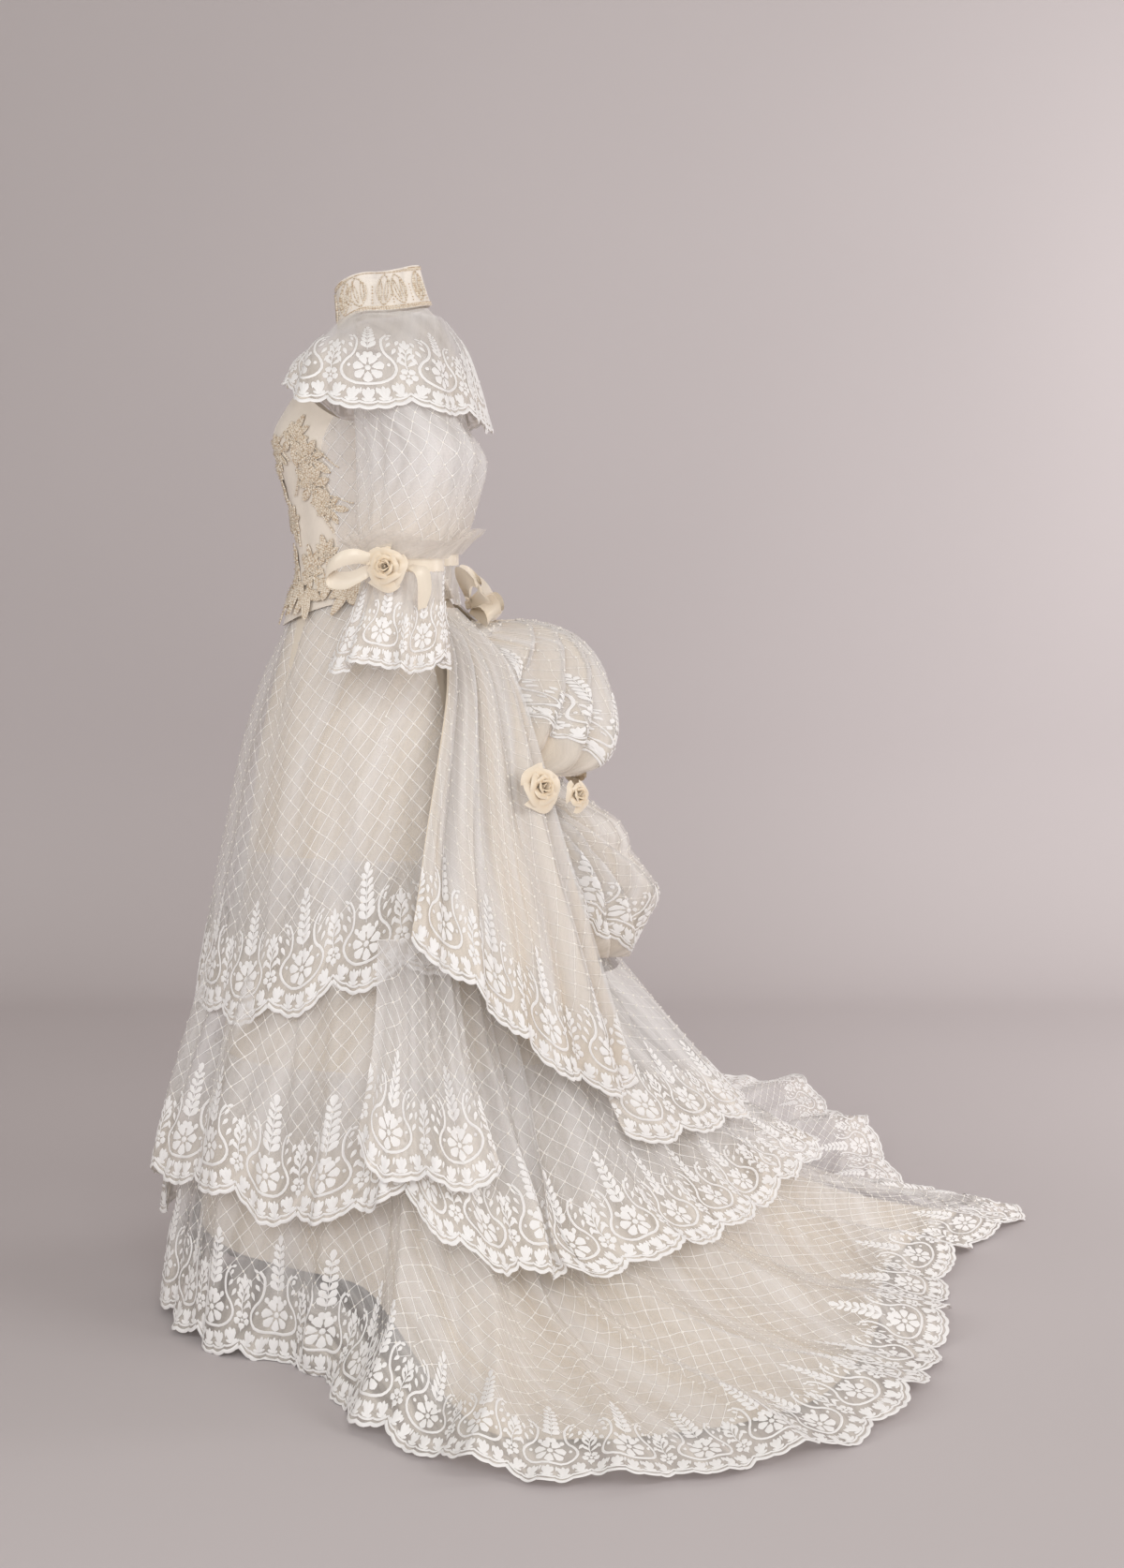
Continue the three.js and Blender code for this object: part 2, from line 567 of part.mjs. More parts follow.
function bodicePieces() {
  const front = 0.185;
  const side = 0.31;
  const size = { rows: 7, trim: 2 * SEAM };
  const relief = (u, v) => leafRelief(mix(-front, front, u), v);
  return [
    ringPiece("bodice_front", SATIN, { ...size, cols: 18, rows: 11 }, BODICE, -front, front, { relief }),
    ringPiece("bodice_side_left", SATIN, { ...size, cols: 6 }, BODICE, front, side),
    ringPiece("bodice_side_right", SATIN, { ...size, cols: 6 }, BODICE, 1 - side, 1 - front),
    ringPiece("bodice_back_left", SATIN, { ...size, cols: 8 }, BODICE, side, 0.5),
    ringPiece("bodice_back_right", SATIN, { ...size, cols: 8 }, BODICE, 0.5, 1 - side),
  ];
}

function neckPieces() {
  const overlap = (turn, v) => 6 * ease(1.44, 1.49, turn) * (1 - 0.6 * v);
  const beads = (u, v) => 1.8 * Math.abs(Math.sin(Math.PI * 9 * u)) * Math.sin(Math.PI * v);
  const wave = (turn, v) => 5 * smooth(v) * Math.cos(2 * Math.PI * 12 * turn);
  return [
    ringPiece("collar", BEADED, { cols: 36, rows: 2 }, COLLAR, 0.505, 1.495, { wave: overlap, relief: beads }),
    ringPiece("yoke", NET, { cols: 24, rows: 3, closed: true, thick: 1 }, YOKE, 0, 1),
    ringPiece("bertha_left", LACE, { cols: 20, rows: 3, trim: SEAM }, BERTHA, 0, 0.5, { wave }),
    ringPiece("bertha_right", LACE, { cols: 20, rows: 3, trim: SEAM }, BERTHA, 0.5, 1, { wave }),
  ];
}

// ---------------------------------------------------------------- sleeves
// Rings round the left arm: centre, half width, half depth and height.
const SLEEVE = [
  { x: 206, y: 42, wide: 42, deep: 52, z: 1380 },
  { x: 222, y: 52, wide: 60, deep: 66, z: 1342 },
  { x: 242, y: 60, wide: 75, deep: 66, z: 1300 },
  { x: 250, y: 76, wide: 84, deep: 79, z: 1248 },
  { x: 250, y: 74, wide: 80, deep: 76, z: 1190 },
  { x: 246, y: 64, wide: 64, deep: 66, z: 1140 },
  { x: 242, y: 58, wide: 46.5, deep: 50.5, z: 1114 },
  { x: 240, y: 57, wide: 45.5, deep: 49.5, z: 1094 },
];
const FRILL = [
  { x: 243, y: 60, wide: 88, deep: 86, z: 1140 },
  { x: 242, y: 59, wide: 68, deep: 70, z: 1126 },
  { x: 241, y: 58, wide: 54, deep: 58, z: 1113 },
];
const BAND = [
  { x: 240, y: 57, wide: 50, deep: 54, z: 1110 },
  { x: 240, y: 57, wide: 50, deep: 54, z: 1080 },
];
const FLOUNCE = [
  { x: 240, y: 57, wide: 46, deep: 50, z: 1077 },
  { x: 245, y: 52, wide: 54, deep: 57, z: 1048 },
  { x: 252, y: 46, wide: 63, deep: 65, z: 1010 },
  { x: 259, y: 40, wide: 70, deep: 71, z: 972 },
];

function armPiece(name, material, size, table, side, { wave = () => 0, sag = () => 0 } = {}) {
  return cloth(name, material, { ...size, closed: true }, (u, v) => {
    const row = v * (table.length - 1);
    const get = (key) => column(table, key, row);
    const turn = side === LEFT ? u : 1 - u;
    const angle = 2 * Math.PI * turn;
    const out = wave(turn, v);
    const x = get("x") + (get("wide") + out) * Math.sin(angle);
    const y = get("y") - (get("deep") + out) * Math.cos(angle);
    const p = new THREE.Vector3(x, y, get("z") - sag(turn, v));
    return side === LEFT ? p : mirror(p);
  });
}

function sleevePieces(word, side) {
  const gathers = (count, depth, seed) => (u, v) => depth(v) * (ripple(u, count, seed) - 0.5);
  return [
    armPiece("sleeve_" + word, NET, { cols: 18, rows: 7 }, SLEEVE, side, {
      wave: gathers(6, (v) => 7 * Math.sin(Math.PI * clamp(1.15 * v)) ** 0.6 * (1 - ease(0.8, 0.9, v)), 0.5),
    }),
    armPiece("sleeve_frill_" + word, NET, { cols: 24, rows: 1, thick: 1 }, FRILL, side, {
      wave: gathers(7, (v) => 9 * (1 - v), 1.2),
      sag: (u, v) => 8 * (1 - v) * Math.sin(2 * Math.PI * 3 * u + 1),
    }),
    armPiece("sleeve_band_" + word, RIBBON, { cols: 18, rows: 1, thick: 1.2 }, BAND, side),
    armPiece("flounce_" + word, LACE, { cols: 30, rows: 3 }, FLOUNCE, side, {
      wave: gathers(8, (v) => 20 * v ** 0.8, 2.6),
      sag: (u, v) => 7 * v * Math.sin(2 * Math.PI * 4 * u),
    }),
  ];
}

// ---------------------------------------------------------------- ribbon bows and roses
// A ribbon of even width along a smooth curve; across is the direction of its width.
function ribbon(name, points, across, width) {
  const curve = new THREE.CatmullRomCurve3(points.map(([x, y, z]) => new THREE.Vector3(x, y, z)));
  const side = new THREE.Vector3(...across).normalize();
  return cloth(name, RIBBON, { cols: 2 * points.length, rows: 1, thick: 1 }, (u, v) =>
    curve.getPoint(u).addScaledVector(side, (v - 0.5) * width),
  );
}

// A full-blown ribbon rose: a low dome whose petals wind round its middle, facing "out".
function rose(name, centre, out, radius, height) {
  const axis = new THREE.Vector3(...out).normalize();
  const right = new THREE.Vector3(0, 0, 1).cross(axis).normalize();
  const up = axis.clone().cross(right);
  const around = 12;
  const rings = 4;
  const points = [];
  const faces = [];
  const put = (r, a, h) =>
    points.push(
      new THREE.Vector3(...centre)
        .addScaledVector(right, r * Math.cos(a))
        .addScaledVector(up, r * Math.sin(a))
        .addScaledVector(axis, h),
    );
  for (let j = 0; j < rings; j++)
    for (let i = 0; i < around; i++) {
      const a = (2 * Math.PI * i) / around;
      const spread = (j + 0.6) / rings;
      const petal = Math.abs(Math.sin(2.5 * a + 4 * spread));
      const r = radius * spread * (1 + 0.12 * petal * spread);
      const rise = height * (1 - spread ** 2 * 0.8) * (0.72 + 0.28 * Math.cos(3 * Math.PI * spread + a));
      put(r, a, rise);
    }
  for (let i = 0; i < around; i++) put(radius * 0.7, (2 * Math.PI * i) / around, -height * 0.3);
  put(0, 0, height * 0.8);
  put(0, 0, -height * 0.3);
  const top = points.length - 2;
  for (let i = 0; i < around; i++) {
    const next = (i + 1) % around;
    faces.push(top, i, next);
    for (let j = 0; j < rings; j++) {
      const [a, b] = [j * around + i, j * around + next];
      const [c, d] = [a + around, b + around];
      faces.push(a, c, d, a, d, b);
    }
    faces.push(top + 1, rings * around + next, rings * around + i);
  }
  return solid(name, RIBBON, points, faces);
}

const flip = (side, [x, y, z]) => [side * x, y, z];

function trimmings(word, side) {
  const at = (p) => flip(side, p);
  const path = (points) => (side === LEFT ? points.map(at) : points.map(at).reverse());
  return [
    rose("elbow_rose_" + word, at([306, 36, 1096]), at([0.96, -0.25, 0.1]), 28, 20),
    ribbon("elbow_loop_" + word, path([[292, 12, 1100], [288, -14, 1112], [276, -30, 1106], [284, -26, 1092], [298, 6, 1090]]), at([0.1, 0.2, 1]), 22),
    ribbon("elbow_tail_" + word, path([[302, 66, 1098], [308, 84, 1090], [306, 88, 1066], [300, 84, 1040]]), at([0, 1, 0.35]), 18),
    rose("hip_rose_" + word, at([206, 240, 792]), at([0.75, 0.62, 0.1]), 28, 16),
    rose("hip_bud_" + word, at([168, 290, 776]), at([0.55, 0.8, 0.1]), 17, 12),
    ribbon("waist_loop_" + word, path([[14, 132, 1040], [44, 150, 1062], [78, 158, 1066], [92, 164, 1050], [70, 170, 1036], [40, 160, 1030], [14, 146, 1032]]), at([0.15, -0.3, 1]), 30),
  ];
}

function waistKnot() {
  return rose("waist_knot", [0, 134, 1036], [0, 0.96, 0.2], 12, 14);
}

// ---------------------------------------------------------------- the whole gown
const gown = new THREE.Group();
gown.position.z = -SHOULDER_HEIGHT;
gown.add(
  ...liningPieces(),
  ...trainPieces(),
  ...secondTier(),
  apron(),
  backPiece("upper_puff", UPPER_PUFF, { cols: 22, rows: 7 }, { count: 6, seed: 0.9, gather: 1.3 }),
  backPiece("lower_puff", LOWER_PUFF, { cols: 22, rows: 7 }, { count: 6, seed: 2.2 }),
  backPiece("back_drape", BACK_DRAPE, { cols: 20, rows: 4 }, { count: 5, seed: 3.1 }),
  ...bodicePieces(),
  ...neckPieces(),
  waistKnot(),
);
for (const [word, side] of [["left", LEFT], ["right", RIGHT]])
  gown.add(hipDrape(word, side), ...sleevePieces(word, side), ...trimmings(word, side));

const dress = new THREE.Group();
dress.add(gown);
export default dress;
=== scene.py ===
"""A bridal gown: beaded collar, lace bertha, net sleeves, tiered lace skirt, bustle and train.

The gown stands in its worn shape with nobody in it. It faces -Y, its left side is +X and
its train runs out to +Y. Sizes in the tables are in millimetres above the floor; every
point is turned to metres, with the origin between the shoulders, as it is made.
"""

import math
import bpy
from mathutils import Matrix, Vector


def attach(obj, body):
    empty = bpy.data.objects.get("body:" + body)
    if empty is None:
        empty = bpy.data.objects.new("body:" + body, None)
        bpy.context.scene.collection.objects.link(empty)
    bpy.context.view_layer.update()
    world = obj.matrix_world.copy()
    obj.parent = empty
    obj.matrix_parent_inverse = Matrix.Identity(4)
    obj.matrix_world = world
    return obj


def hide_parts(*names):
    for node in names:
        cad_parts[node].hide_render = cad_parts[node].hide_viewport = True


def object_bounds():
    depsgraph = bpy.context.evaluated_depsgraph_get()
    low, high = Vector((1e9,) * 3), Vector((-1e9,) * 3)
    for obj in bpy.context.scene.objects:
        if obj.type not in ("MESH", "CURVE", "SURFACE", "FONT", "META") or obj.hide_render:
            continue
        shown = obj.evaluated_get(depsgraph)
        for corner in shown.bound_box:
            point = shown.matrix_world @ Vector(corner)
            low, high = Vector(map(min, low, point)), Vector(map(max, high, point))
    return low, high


bl_info = {
    "name": "Bridal gown with bustle and train",
    "version": (1, 0, 0),
    "blender": (4, 5, 0),
    "location": "View3D > Sidebar > Gown",
    "description": "Makes each piece of a lace bridal gown and the studio round it",
    "category": "Add Mesh",
}

import bpy
import numpy as np

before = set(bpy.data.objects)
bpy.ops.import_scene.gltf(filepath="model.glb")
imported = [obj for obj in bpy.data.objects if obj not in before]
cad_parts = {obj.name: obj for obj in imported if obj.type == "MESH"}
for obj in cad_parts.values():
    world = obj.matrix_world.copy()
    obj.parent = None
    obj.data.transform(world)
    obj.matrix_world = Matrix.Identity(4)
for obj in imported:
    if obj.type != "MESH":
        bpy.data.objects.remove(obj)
CAD_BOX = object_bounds()

# ---------------------------------------------------------------- sizes
MM = 0.001
SHOULDER_HEIGHT = 1430
FLOOR = CAD_BOX[0][2]
LEFT, RIGHT = 1, -1
SIDES = (("left", LEFT), ("right", RIGHT))


def table(names, *rows):
    """Rows of sizes under named columns."""
    return {name: np.array(values, float) for name, values in zip(names.split(), zip(*rows))}


# Columns of the tables: folds, bustle puffs, rings round the body and the arm, and folds of a fan.
FOLD = "top foot start end wide flare deep"
PUFF = "edge edgeR edgeZ midR midZ fold"
RING = "front side back frontZ sideZ backZ square"
ARM_RING = "x y wide deep z"
RAY = "at wide deep near far"

# Hem of the train from centre front to centre back, and the angle round the waist above it.
HEM = table(
    "x y waist",
    (0, -280, 0),
    (110, -262, 22),
    (198, -205, 42),
    (255, -115, 62),
    (325, -32, 80),
    (490, 24, 93),
    (624, 102, 104),
    (722, 200, 115),
    (790, 315, 125),
    (818, 440, 134),
    (815, 570, 143),
    (745, 690, 152),
    (600, 765, 160),
    (420, 812, 167),
    (220, 850, 173),
    (100, 930, 177),
    (0, 1035, 180),
)
STATIONS = len(HEM["x"]) - 1
FLOOR_LIFT = 9  # height of the surface that cloth on the floor is lifted from

# Levels of the skirt: how far out from the waist they lie in plan, and their heights.
LEVELS = table(
    "front side quarter back frontZ sideZ quarterZ backZ",
    (0, 0, 0, 0, 1060, 1060, 1060, 1060),
    (26, 32, 37, 45, 960, 960, 960, 960),
    (52, 56, 66, 80, 840, 840, 840, 840),
    (72, 75, 91, 125, 690, 690, 690, 690),
    (93, 94, 117, 175, 540, 540, 540, 540),
    (115, 114, 146, 245, 400, 400, 400, 400),
    (139, 139, 186, 350, 250, 250, 250, 250),
    (157, 163, 256, 520, 135, 130, 105, 125),
    (165, 178, 424, 733, 78, 60, 28, 48),
    (172, 195, 730, 936, 28, 3, FLOOR_LIFT, FLOOR_LIFT),
)
HEM_LEVEL = len(LEVELS["front"]) - 1
KINDS = (("front", 0), ("side", 4), ("quarter", 9), ("back", STATIONS))
WAIST_SIDE, WAIST_FRONT, WAIST_BACK = 118, 108, 99
# The train is drawn aside more and more from its start to its end, below one height, and its
# far side is spread by a share and lies higher.
TRAIN_SWEEP, TRAIN_START, TRAIN_END, SWEEP_HEIGHT = 460, 100, 1040, 550
FAR_SPREAD, FAR_RISE = 0.24, 62
BEND_AT = 0.4  # share of the way from hem to waist at which the skirt's outline bends
RIPPLE_WITH_FOLDS = 0.45  # share of the ripple that is left where folds are listed one by one
LOWEST_POINT, LOWEST_LACE = 1.2, 0.3  # millimetres above the floor
UNDER_DRAPE, UNDER_PUFF = 5, 6  # how far the satin lies inside its lace, in millimetres
LACE_PROUD = 0.5 * MM  # how far the lace border lies off its net
BORDER_HEIGHT = 0.088  # metres above a hem that the border takes, where no net threads are worked

# Drapes, in degrees round the gown from the left side (0) to the back (90).
HIP_DRAPE = table(
    "frontAngle front frontZ backAngle back backZ fold",
    (44, 127, 1036, 62, 137, 1034, 0),
    (38, 176, 966, 61, 217, 958, 5),
    (26, 230, 850, 56, 277, 850, 8),
    (19, 264, 750, 55, 318, 735, 10),
    (15, 292, 670, 57, 362, 590, 12),
    (12, 314, 600, 59, 425, 382, 14),
)
UPPER_PUFF = table(
    PUFF,
    (74, 128, 1014, 150, 1004, 1),
    (66, 142, 1006, 208, 1015, 8),
    (60, 160, 982, 266, 996, 12),
    (57, 186, 940, 308, 946, 13),
    (55, 212, 890, 328, 893, 13),
    (54, 236, 845, 332, 845, 12),
    (54, 246, 812, 318, 808, 8),
    (55, 248, 796, 284, 792, 3),
)
LOWER_PUFF = table(
    PUFF,
    (54, 262, 782, 268, 782, 3),
    (54, 278, 766, 304, 744, 8),
    (55, 294, 730, 352, 702, 12),
    (56, 308, 690, 380, 655, 13),
    (57, 320, 640, 388, 605, 13),
    (57, 328, 590, 378, 555, 10),
    (58, 328, 558, 358, 530, 5),
    (59, 326, 548, 344, 530, 2),
)
BACK_DRAPE = table(
    PUFF,
    (60, 338, 520, 352, 512, 2),
    (58, 356, 470, 394, 462, 6),
    (56, 376, 415, 440, 405, 8),
    (55, 405, 362, 487, 345, 10),
    (55, 436, 306, 532, 290, 12),
)

# Rings round the body: reach to the front, side and back, heights, and squareness.
BODICE = table(
    RING,
    (103, 150, 122, 1350, 1292, 1345, 0.9),
    (128, 154, 121, 1312, 1275, 1310, 0.9),
    (143, 154, 117, 1280, 1255, 1270, 0.9),
    (138, 146, 111, 1240, 1228, 1228, 0.92),
    (125, 136, 104, 1195, 1190, 1190, 0.95),
    (117, 125, 97, 1145, 1142, 1142, 1),
    (111, 119, 95, 1095, 1095, 1095, 1),
    (116, 125, 105, 1060, 1066, 1066, 1),
    (134, 131, 112, 1006, 1046, 1046, 1),
)
YOKE = table(
    RING,
    (47, 61, 79, 1425, 1448, 1460, 1),
    (66, 104, 99, 1404, 1438, 1434, 1),
    (84, 146, 118, 1378, 1412, 1392, 0.9),
    (97, 162, 121, 1356, 1390, 1352, 0.85),
)
COLLAR = table(
    RING,
    (53, 55, 60, 1490, 1506, 1520, 1),
    (52, 58, 70, 1460, 1478, 1491, 1),
    (49, 63, 81, 1428, 1451, 1463, 1),
)
BERTHA = table(
    RING,
    (79, 98, 99, 1398, 1450, 1446, 1),
    (92, 172, 130, 1384, 1424, 1402, 0.85),
    (101, 256, 146, 1370, 1394, 1354, 0.7),
    (109, 324, 160, 1354, 1316, 1300, 0.6),
)

# Rings round the left arm.
SLEEVE = table(
    ARM_RING,
    (206, 42, 42, 52, 1380),
    (222, 52, 60, 66, 1342),
    (242, 60, 75, 66, 1300),
    (250, 76, 84, 79, 1248),
    (249, 69, 78, 72, 1190),
    (245, 61, 64, 64, 1140),
    (242, 58, 46.5, 50.5, 1114),
    (240, 57, 45.5, 49.5, 1094),
)
FRILL = table(ARM_RING, (243, 60, 88, 86, 1138), (242, 59, 70, 72, 1124), (241, 58, 54, 58, 1106))
BAND = table(ARM_RING, (240, 57, 50, 54, 1107), (240, 57, 50, 54, 1089))
FLOUNCE = table(
    ARM_RING,
    (240, 57, 49, 53, 1090),
    (245, 52, 54, 57, 1048),
    (252, 46, 63, 65, 1010),
    (259, 40, 70, 71, 972),
)

# Where on the left half of the bodice the beaded sprays lie: turn, share of the height, lean.
BEADED_SPRAYS = table(
    "turn down lean size",
    (0.125, 0.24, 0.5, 0.8),
    (0.16, 0.33, -0.5, 0.85),
    (0.15, 0.46, 0.4, 0.9),
    (0.18, 0.54, -0.9, 0.7),
    (0.16, 0.71, 0.3, 0.62),
    (0.12, 0.8, -0.4, 0.75),
    (0.07, 0.33, -0.5, 0.7),
    (0.06, 0.6, 0.4, 0.7),
    (0.02, 0.46, 0.2, 0.7),
    (0.03, 0.78, -0.3, 0.7),
)
# Leaves of a spray: turn, length and width.
SPRAY_LEAVES = (
    (-66, 28, 13),
    (-28, 38, 15),
    (10, 34, 14),
    (46, 30, 13),
    (96, 24, 11),
    (148, 33, 13),
    (-152, 28, 12),
    (-108, 22, 10),
)
# Petals of a flower head of the lace: turn, and length and width as shares of its size.
TULIP_PETALS = ((0, 0.84, 0.24), (17, 0.78, 0.28), (-17, 0.78, 0.28), (58, 0.36, 0.17), (-58, 0.36, 0.17))


# ---------------------------------------------------------------- what a user would change
def linear(code):
    """An sRGB hex value as linear red, green and blue."""
    parts = [int(code[i : i + 2], 16) / 255 for i in (1, 3, 5)]
    return tuple(p / 12.92 if p <= 0.04045 else ((p + 0.055) / 1.055) ** 2.4 for p in parts)


def colour_property(name, description, code):
    return bpy.props.FloatVectorProperty(
        name=name, description=description, default=linear(code), subtype="COLOR", size=3, min=0, max=1
    )


def length_property(name, description, millimetres):
    return bpy.props.FloatProperty(
        name=name, description=description, default=millimetres * MM, unit="LENGTH", min=0, precision=4
    )


class GownSizes(bpy.types.PropertyGroup):
    """Sizes of the lace, the net and the ribbons."""

    repeat: length_property("Lace repeat", "Width of one scallop of the lace border", 110)
    scallop: length_property("Scallop depth", "How far a scallop hangs below its ends", 19)
    net_wide: length_property("Diamond width", "Width of a diamond of the embroidered net", 26)
    net_high: length_property("Diamond height", "Height of a diamond of the embroidered net", 30)
    square: length_property("Square net", "Side of a square of the net on the side drapes", 20)
    thread: length_property("Net thread", "Width of a thread of the embroidered net", 0.85)
    pearl: length_property("Pearl radius", "Radius of the pearls sewn to the net", 2.0)
    ribbon: length_property("Ribbon width", "Width of the satin ribbon of the bows", 24)
    cover: bpy.props.FloatProperty(
        name="Net cover",
        description="Share of the light that one layer of net stops",
        default=0.36,
        min=0,
        max=1,
        subtype="FACTOR",
    )


class GownColours(bpy.types.PropertyGroup):
    """Colours of the gown's cloths and of the studio."""

    satin: colour_property("Lining", "Satin of the lining and under the drapes", "#ece1d1")
    bodice: colour_property("Bodice", "Satin of the bodice", "#f5ebde")
    net: colour_property("Net", "Fine net under the embroidery", "#f3f0ef")
    thread: colour_property("Embroidery", "Embroidery thread", "#f8f6f5")
    ribbon: colour_property("Ribbon", "Satin ribbon", "#f4e8d6")
    cord: colour_property("Cord", "Cord and beads of the bodice", "#f6ecdc")
    pearl: colour_property("Pearl", "Pearls", "#fbf6ee")
    studio: colour_property("Studio", "Floor and background paper", "#c9c2c3")


def sizes():
    return bpy.context.scene.gown_sizes


def colours():
    return bpy.context.scene.gown_colours


# ---------------------------------------------------------------- materials
CUT = {"uv_map": "cut"}  # the map that holds where a point lies on the flat cut, in metres
COLOUR = {"data_type": "RGBA"}
SMOOTH = {"interpolation_type": "SMOOTHSTEP"}
CLAMPED_PRODUCT = {"operation": "MULTIPLY", "use_clamp": True}
WAVE = 20  # a wave texture runs through so many radians in one unit of its scale


def add(tree, kind, settings=None, inputs=None):
    """Adds a node with its settings; an input is given a value, or the socket that feeds it."""
    made = tree.nodes.new(kind)
    for name, value in (settings or {}).items():
        setattr(made, name, value)
    for name, value in (inputs or {}).items():
        if isinstance(value, bpy.types.NodeSocket):
            tree.links.new(value, made.inputs[name])
        else:
            made.inputs[name].default_value = value
    return made


def new_tree(name):
    """The empty node tree of a new material."""
    made = bpy.data.materials.new(name)
    made.use_nodes = True
    made.node_tree.nodes.clear()
    return made.node_tree


def finish_surface(tree, inputs):
    """Ends a material with its surface, from the inputs of its shader."""
    shader = add(tree, "ShaderNodeBsdfPrincipled", None, inputs)
    add(tree, "ShaderNodeOutputMaterial", None, {"Surface": shader.outputs[0]})


def once(make):
    """Makes a material the first time it is asked for, and gives the same one afterwards."""

    def get():
        if make.__name__ not in bpy.data.materials:
            make(make.__name__)
        return bpy.data.materials[make.__name__]

    return get


def rgba(colour, factor=1.0):
    """A colour with its alpha, times one factor or one each for red, green and blue."""
    return (*np.minimum(1.0, np.array(colour) * factor).tolist(), 1.0)


def per_metre(millimetres):
    """Texture scale at which one period is that long."""
    return 1 / (millimetres * MM)


def make_net(name, cover, ground):
    """Fine bobbin net: a mesh of thin yarn, so the cloth behind it shows through.

    cover is the share of the light that it stops, and ground is how much closer it is at the hem."""
    tree = new_tree(name)
    where = add(tree, "ShaderNodeUVMap", CUT).outputs["UV"]
    mesh = add(
        tree,
        "ShaderNodeTexVoronoi",
        {"feature": "DISTANCE_TO_EDGE", "voronoi_dimensions": "2D"},
        {"Vector": where, "Scale": per_metre(1.8), "Randomness": 0.35},
    ).outputs["Distance"]
    yarn = add(
        tree,
        "ShaderNodeMapRange",
        None,
        {"Value": mesh, "From Min": 0.0, "From Max": 0.3, "To Min": cover * 1.3, "To Max": cover * 0.8},
    ).outputs["Result"]
    # Net that is gathered lies double in long strips, about 40 mm apart.
    drawn_up = add(tree, "ShaderNodeVectorMath", {"operation": "MULTIPLY"}, {0: where, 1: (1.0, 0.06, 1.0)})
    strips = add(
        tree,
        "ShaderNodeTexNoise",
        None,
        {"Vector": drawn_up.outputs[0], "Scale": per_metre(42), "Detail": 3.0, "Roughness": 0.55},
    ).outputs["Fac"]
    folded = add(
        tree,
        "ShaderNodeMapRange",
        None,
        {"Value": strips, "From Min": 0.36, "From Max": 0.66, "To Min": 0.6, "To Max": 1.6},
    ).outputs["Result"]
    cover_here = add(tree, "ShaderNodeMath", CLAMPED_PRODUCT, {0: yarn, 1: folded}).outputs[0]
    # Up from the hem the embroidery is worked on a closer, warmer ground, as high as its flowers reach.
    high = add(tree, "ShaderNodeSeparateXYZ", None, {0: where}).outputs["Y"]
    worked = {"Value": high, "From Min": 0.05, "From Max": 0.15}
    closer = add(tree, "ShaderNodeMapRange", SMOOTH, {**worked, "To Min": ground, "To Max": 1.0}).outputs["Result"]
    warm = add(tree, "ShaderNodeMapRange", SMOOTH, {**worked, "To Min": 0.7, "To Max": 0.0}).outputs["Result"]
    in_all = add(tree, "ShaderNodeMath", CLAMPED_PRODUCT, {0: cover_here, 1: closer}).outputs[0]
    tone = add(tree, "ShaderNodeMix", COLOUR, {0: warm, 6: rgba(colours().net), 7: rgba(colours().bodice)}).outputs[2]
    finish_surface(tree, {"Base Color": tone, "Roughness": 0.85, "Alpha": in_all, "Sheen Weight": 0.25})


@once
def bobbin_net(name):
    """One layer of net, as over the lining."""
    make_net(name, sizes().cover, 1.2)


@once
def sheer_net(name):
    """The net of the sleeves and the yoke, no closer at its edges than elsewhere."""
    make_net(name, 0.42, 1.0)


@once
def double_net(name):
    """Net folded on itself in the drapes: two layers stop more light."""
    make_net(name, 0.46, 1.1)


@once
def stiff_net(name):
    """The collar's stiffened net, laid in several layers: nearly closed and whiter."""
    make_net(name, 0.85, 1.0)


@once
def puff_net(name):
    """The outer net of the bustle puffs."""
    make_net(name, 0.42, 1.1)


def make_satin(name, colour, rough, thread_mm=0.9):
    """Woven satin: long floats give a soft sheen and a faint thread line; shade is painted darker and warmer into the
    hollows of its folds.
    """
    tree = new_tree(name)
    where = add(tree, "ShaderNodeUVMap", CUT).outputs["UV"]
    cloud = add(
        tree, "ShaderNodeTexNoise", None, {"Vector": where, "Scale": per_metre(45), "Detail": 4.0, "Roughness": 0.6}
    ).outputs["Fac"]
    tone = add(tree, "ShaderNodeMix", COLOUR, {0: cloud, 6: rgba(colour, 0.9), 7: rgba(colour, 1.06)}).outputs[2]
    # Painted shade: in the hollows of folds, found by their pointiness, the colour is painted darker and warmer than
    # on the ridges, in place of the light that passes from wall to wall of a fold.
    bend = add(tree, "ShaderNodeNewGeometry").outputs["Pointiness"]
    hollow = add(
        tree,
        "ShaderNodeMapRange",
        None,
        {"Value": bend, "From Min": 0.5, "From Max": 0.43, "To Min": 0.0, "To Max": 0.6},
    ).outputs["Result"]
    painted_crease_shade = rgba(colour, (0.88, 0.72, 0.5))
    tone = add(tree, "ShaderNodeMix", COLOUR, {0: hollow, 6: tone, 7: painted_crease_shade}).outputs[2]
    # Real floats are too fine to show, so the lines are drawn a few times as wide.
    floats = add(
        tree,
        "ShaderNodeTexWave",
        {"wave_type": "BANDS", "bands_direction": "X"},
        {"Vector": where, "Scale": per_metre(thread_mm) / WAVE, "Distortion": 1.5, "Detail": 1.0},
    ).outputs["Fac"]
    bump = add(tree, "ShaderNodeBump", None, {"Height": floats, "Strength": 0.08, "Distance": 0.0002}).outputs[0]
    sheen = {"Sheen Weight": 0.3, "Sheen Roughness": 0.4, "Specular IOR Level": 0.45}
    finish_surface(tree, {"Base Color": tone, "Roughness": rough, "Normal": bump, **sheen})


@once
def duchess_satin(name):
    """Heavy satin of the lining: a warm cream that the net over it pales."""
    make_satin(name, colours().satin, 0.5)


@once
def bodice_satin(name):
    """The paler satin of the bodice."""
    make_satin(name, colours().bodice, 0.46)


@once
def ribbon_satin(name):
    """Double-faced satin ribbon, glossier than the lining."""
    make_satin(name, colours().ribbon, 0.3, 0.6)


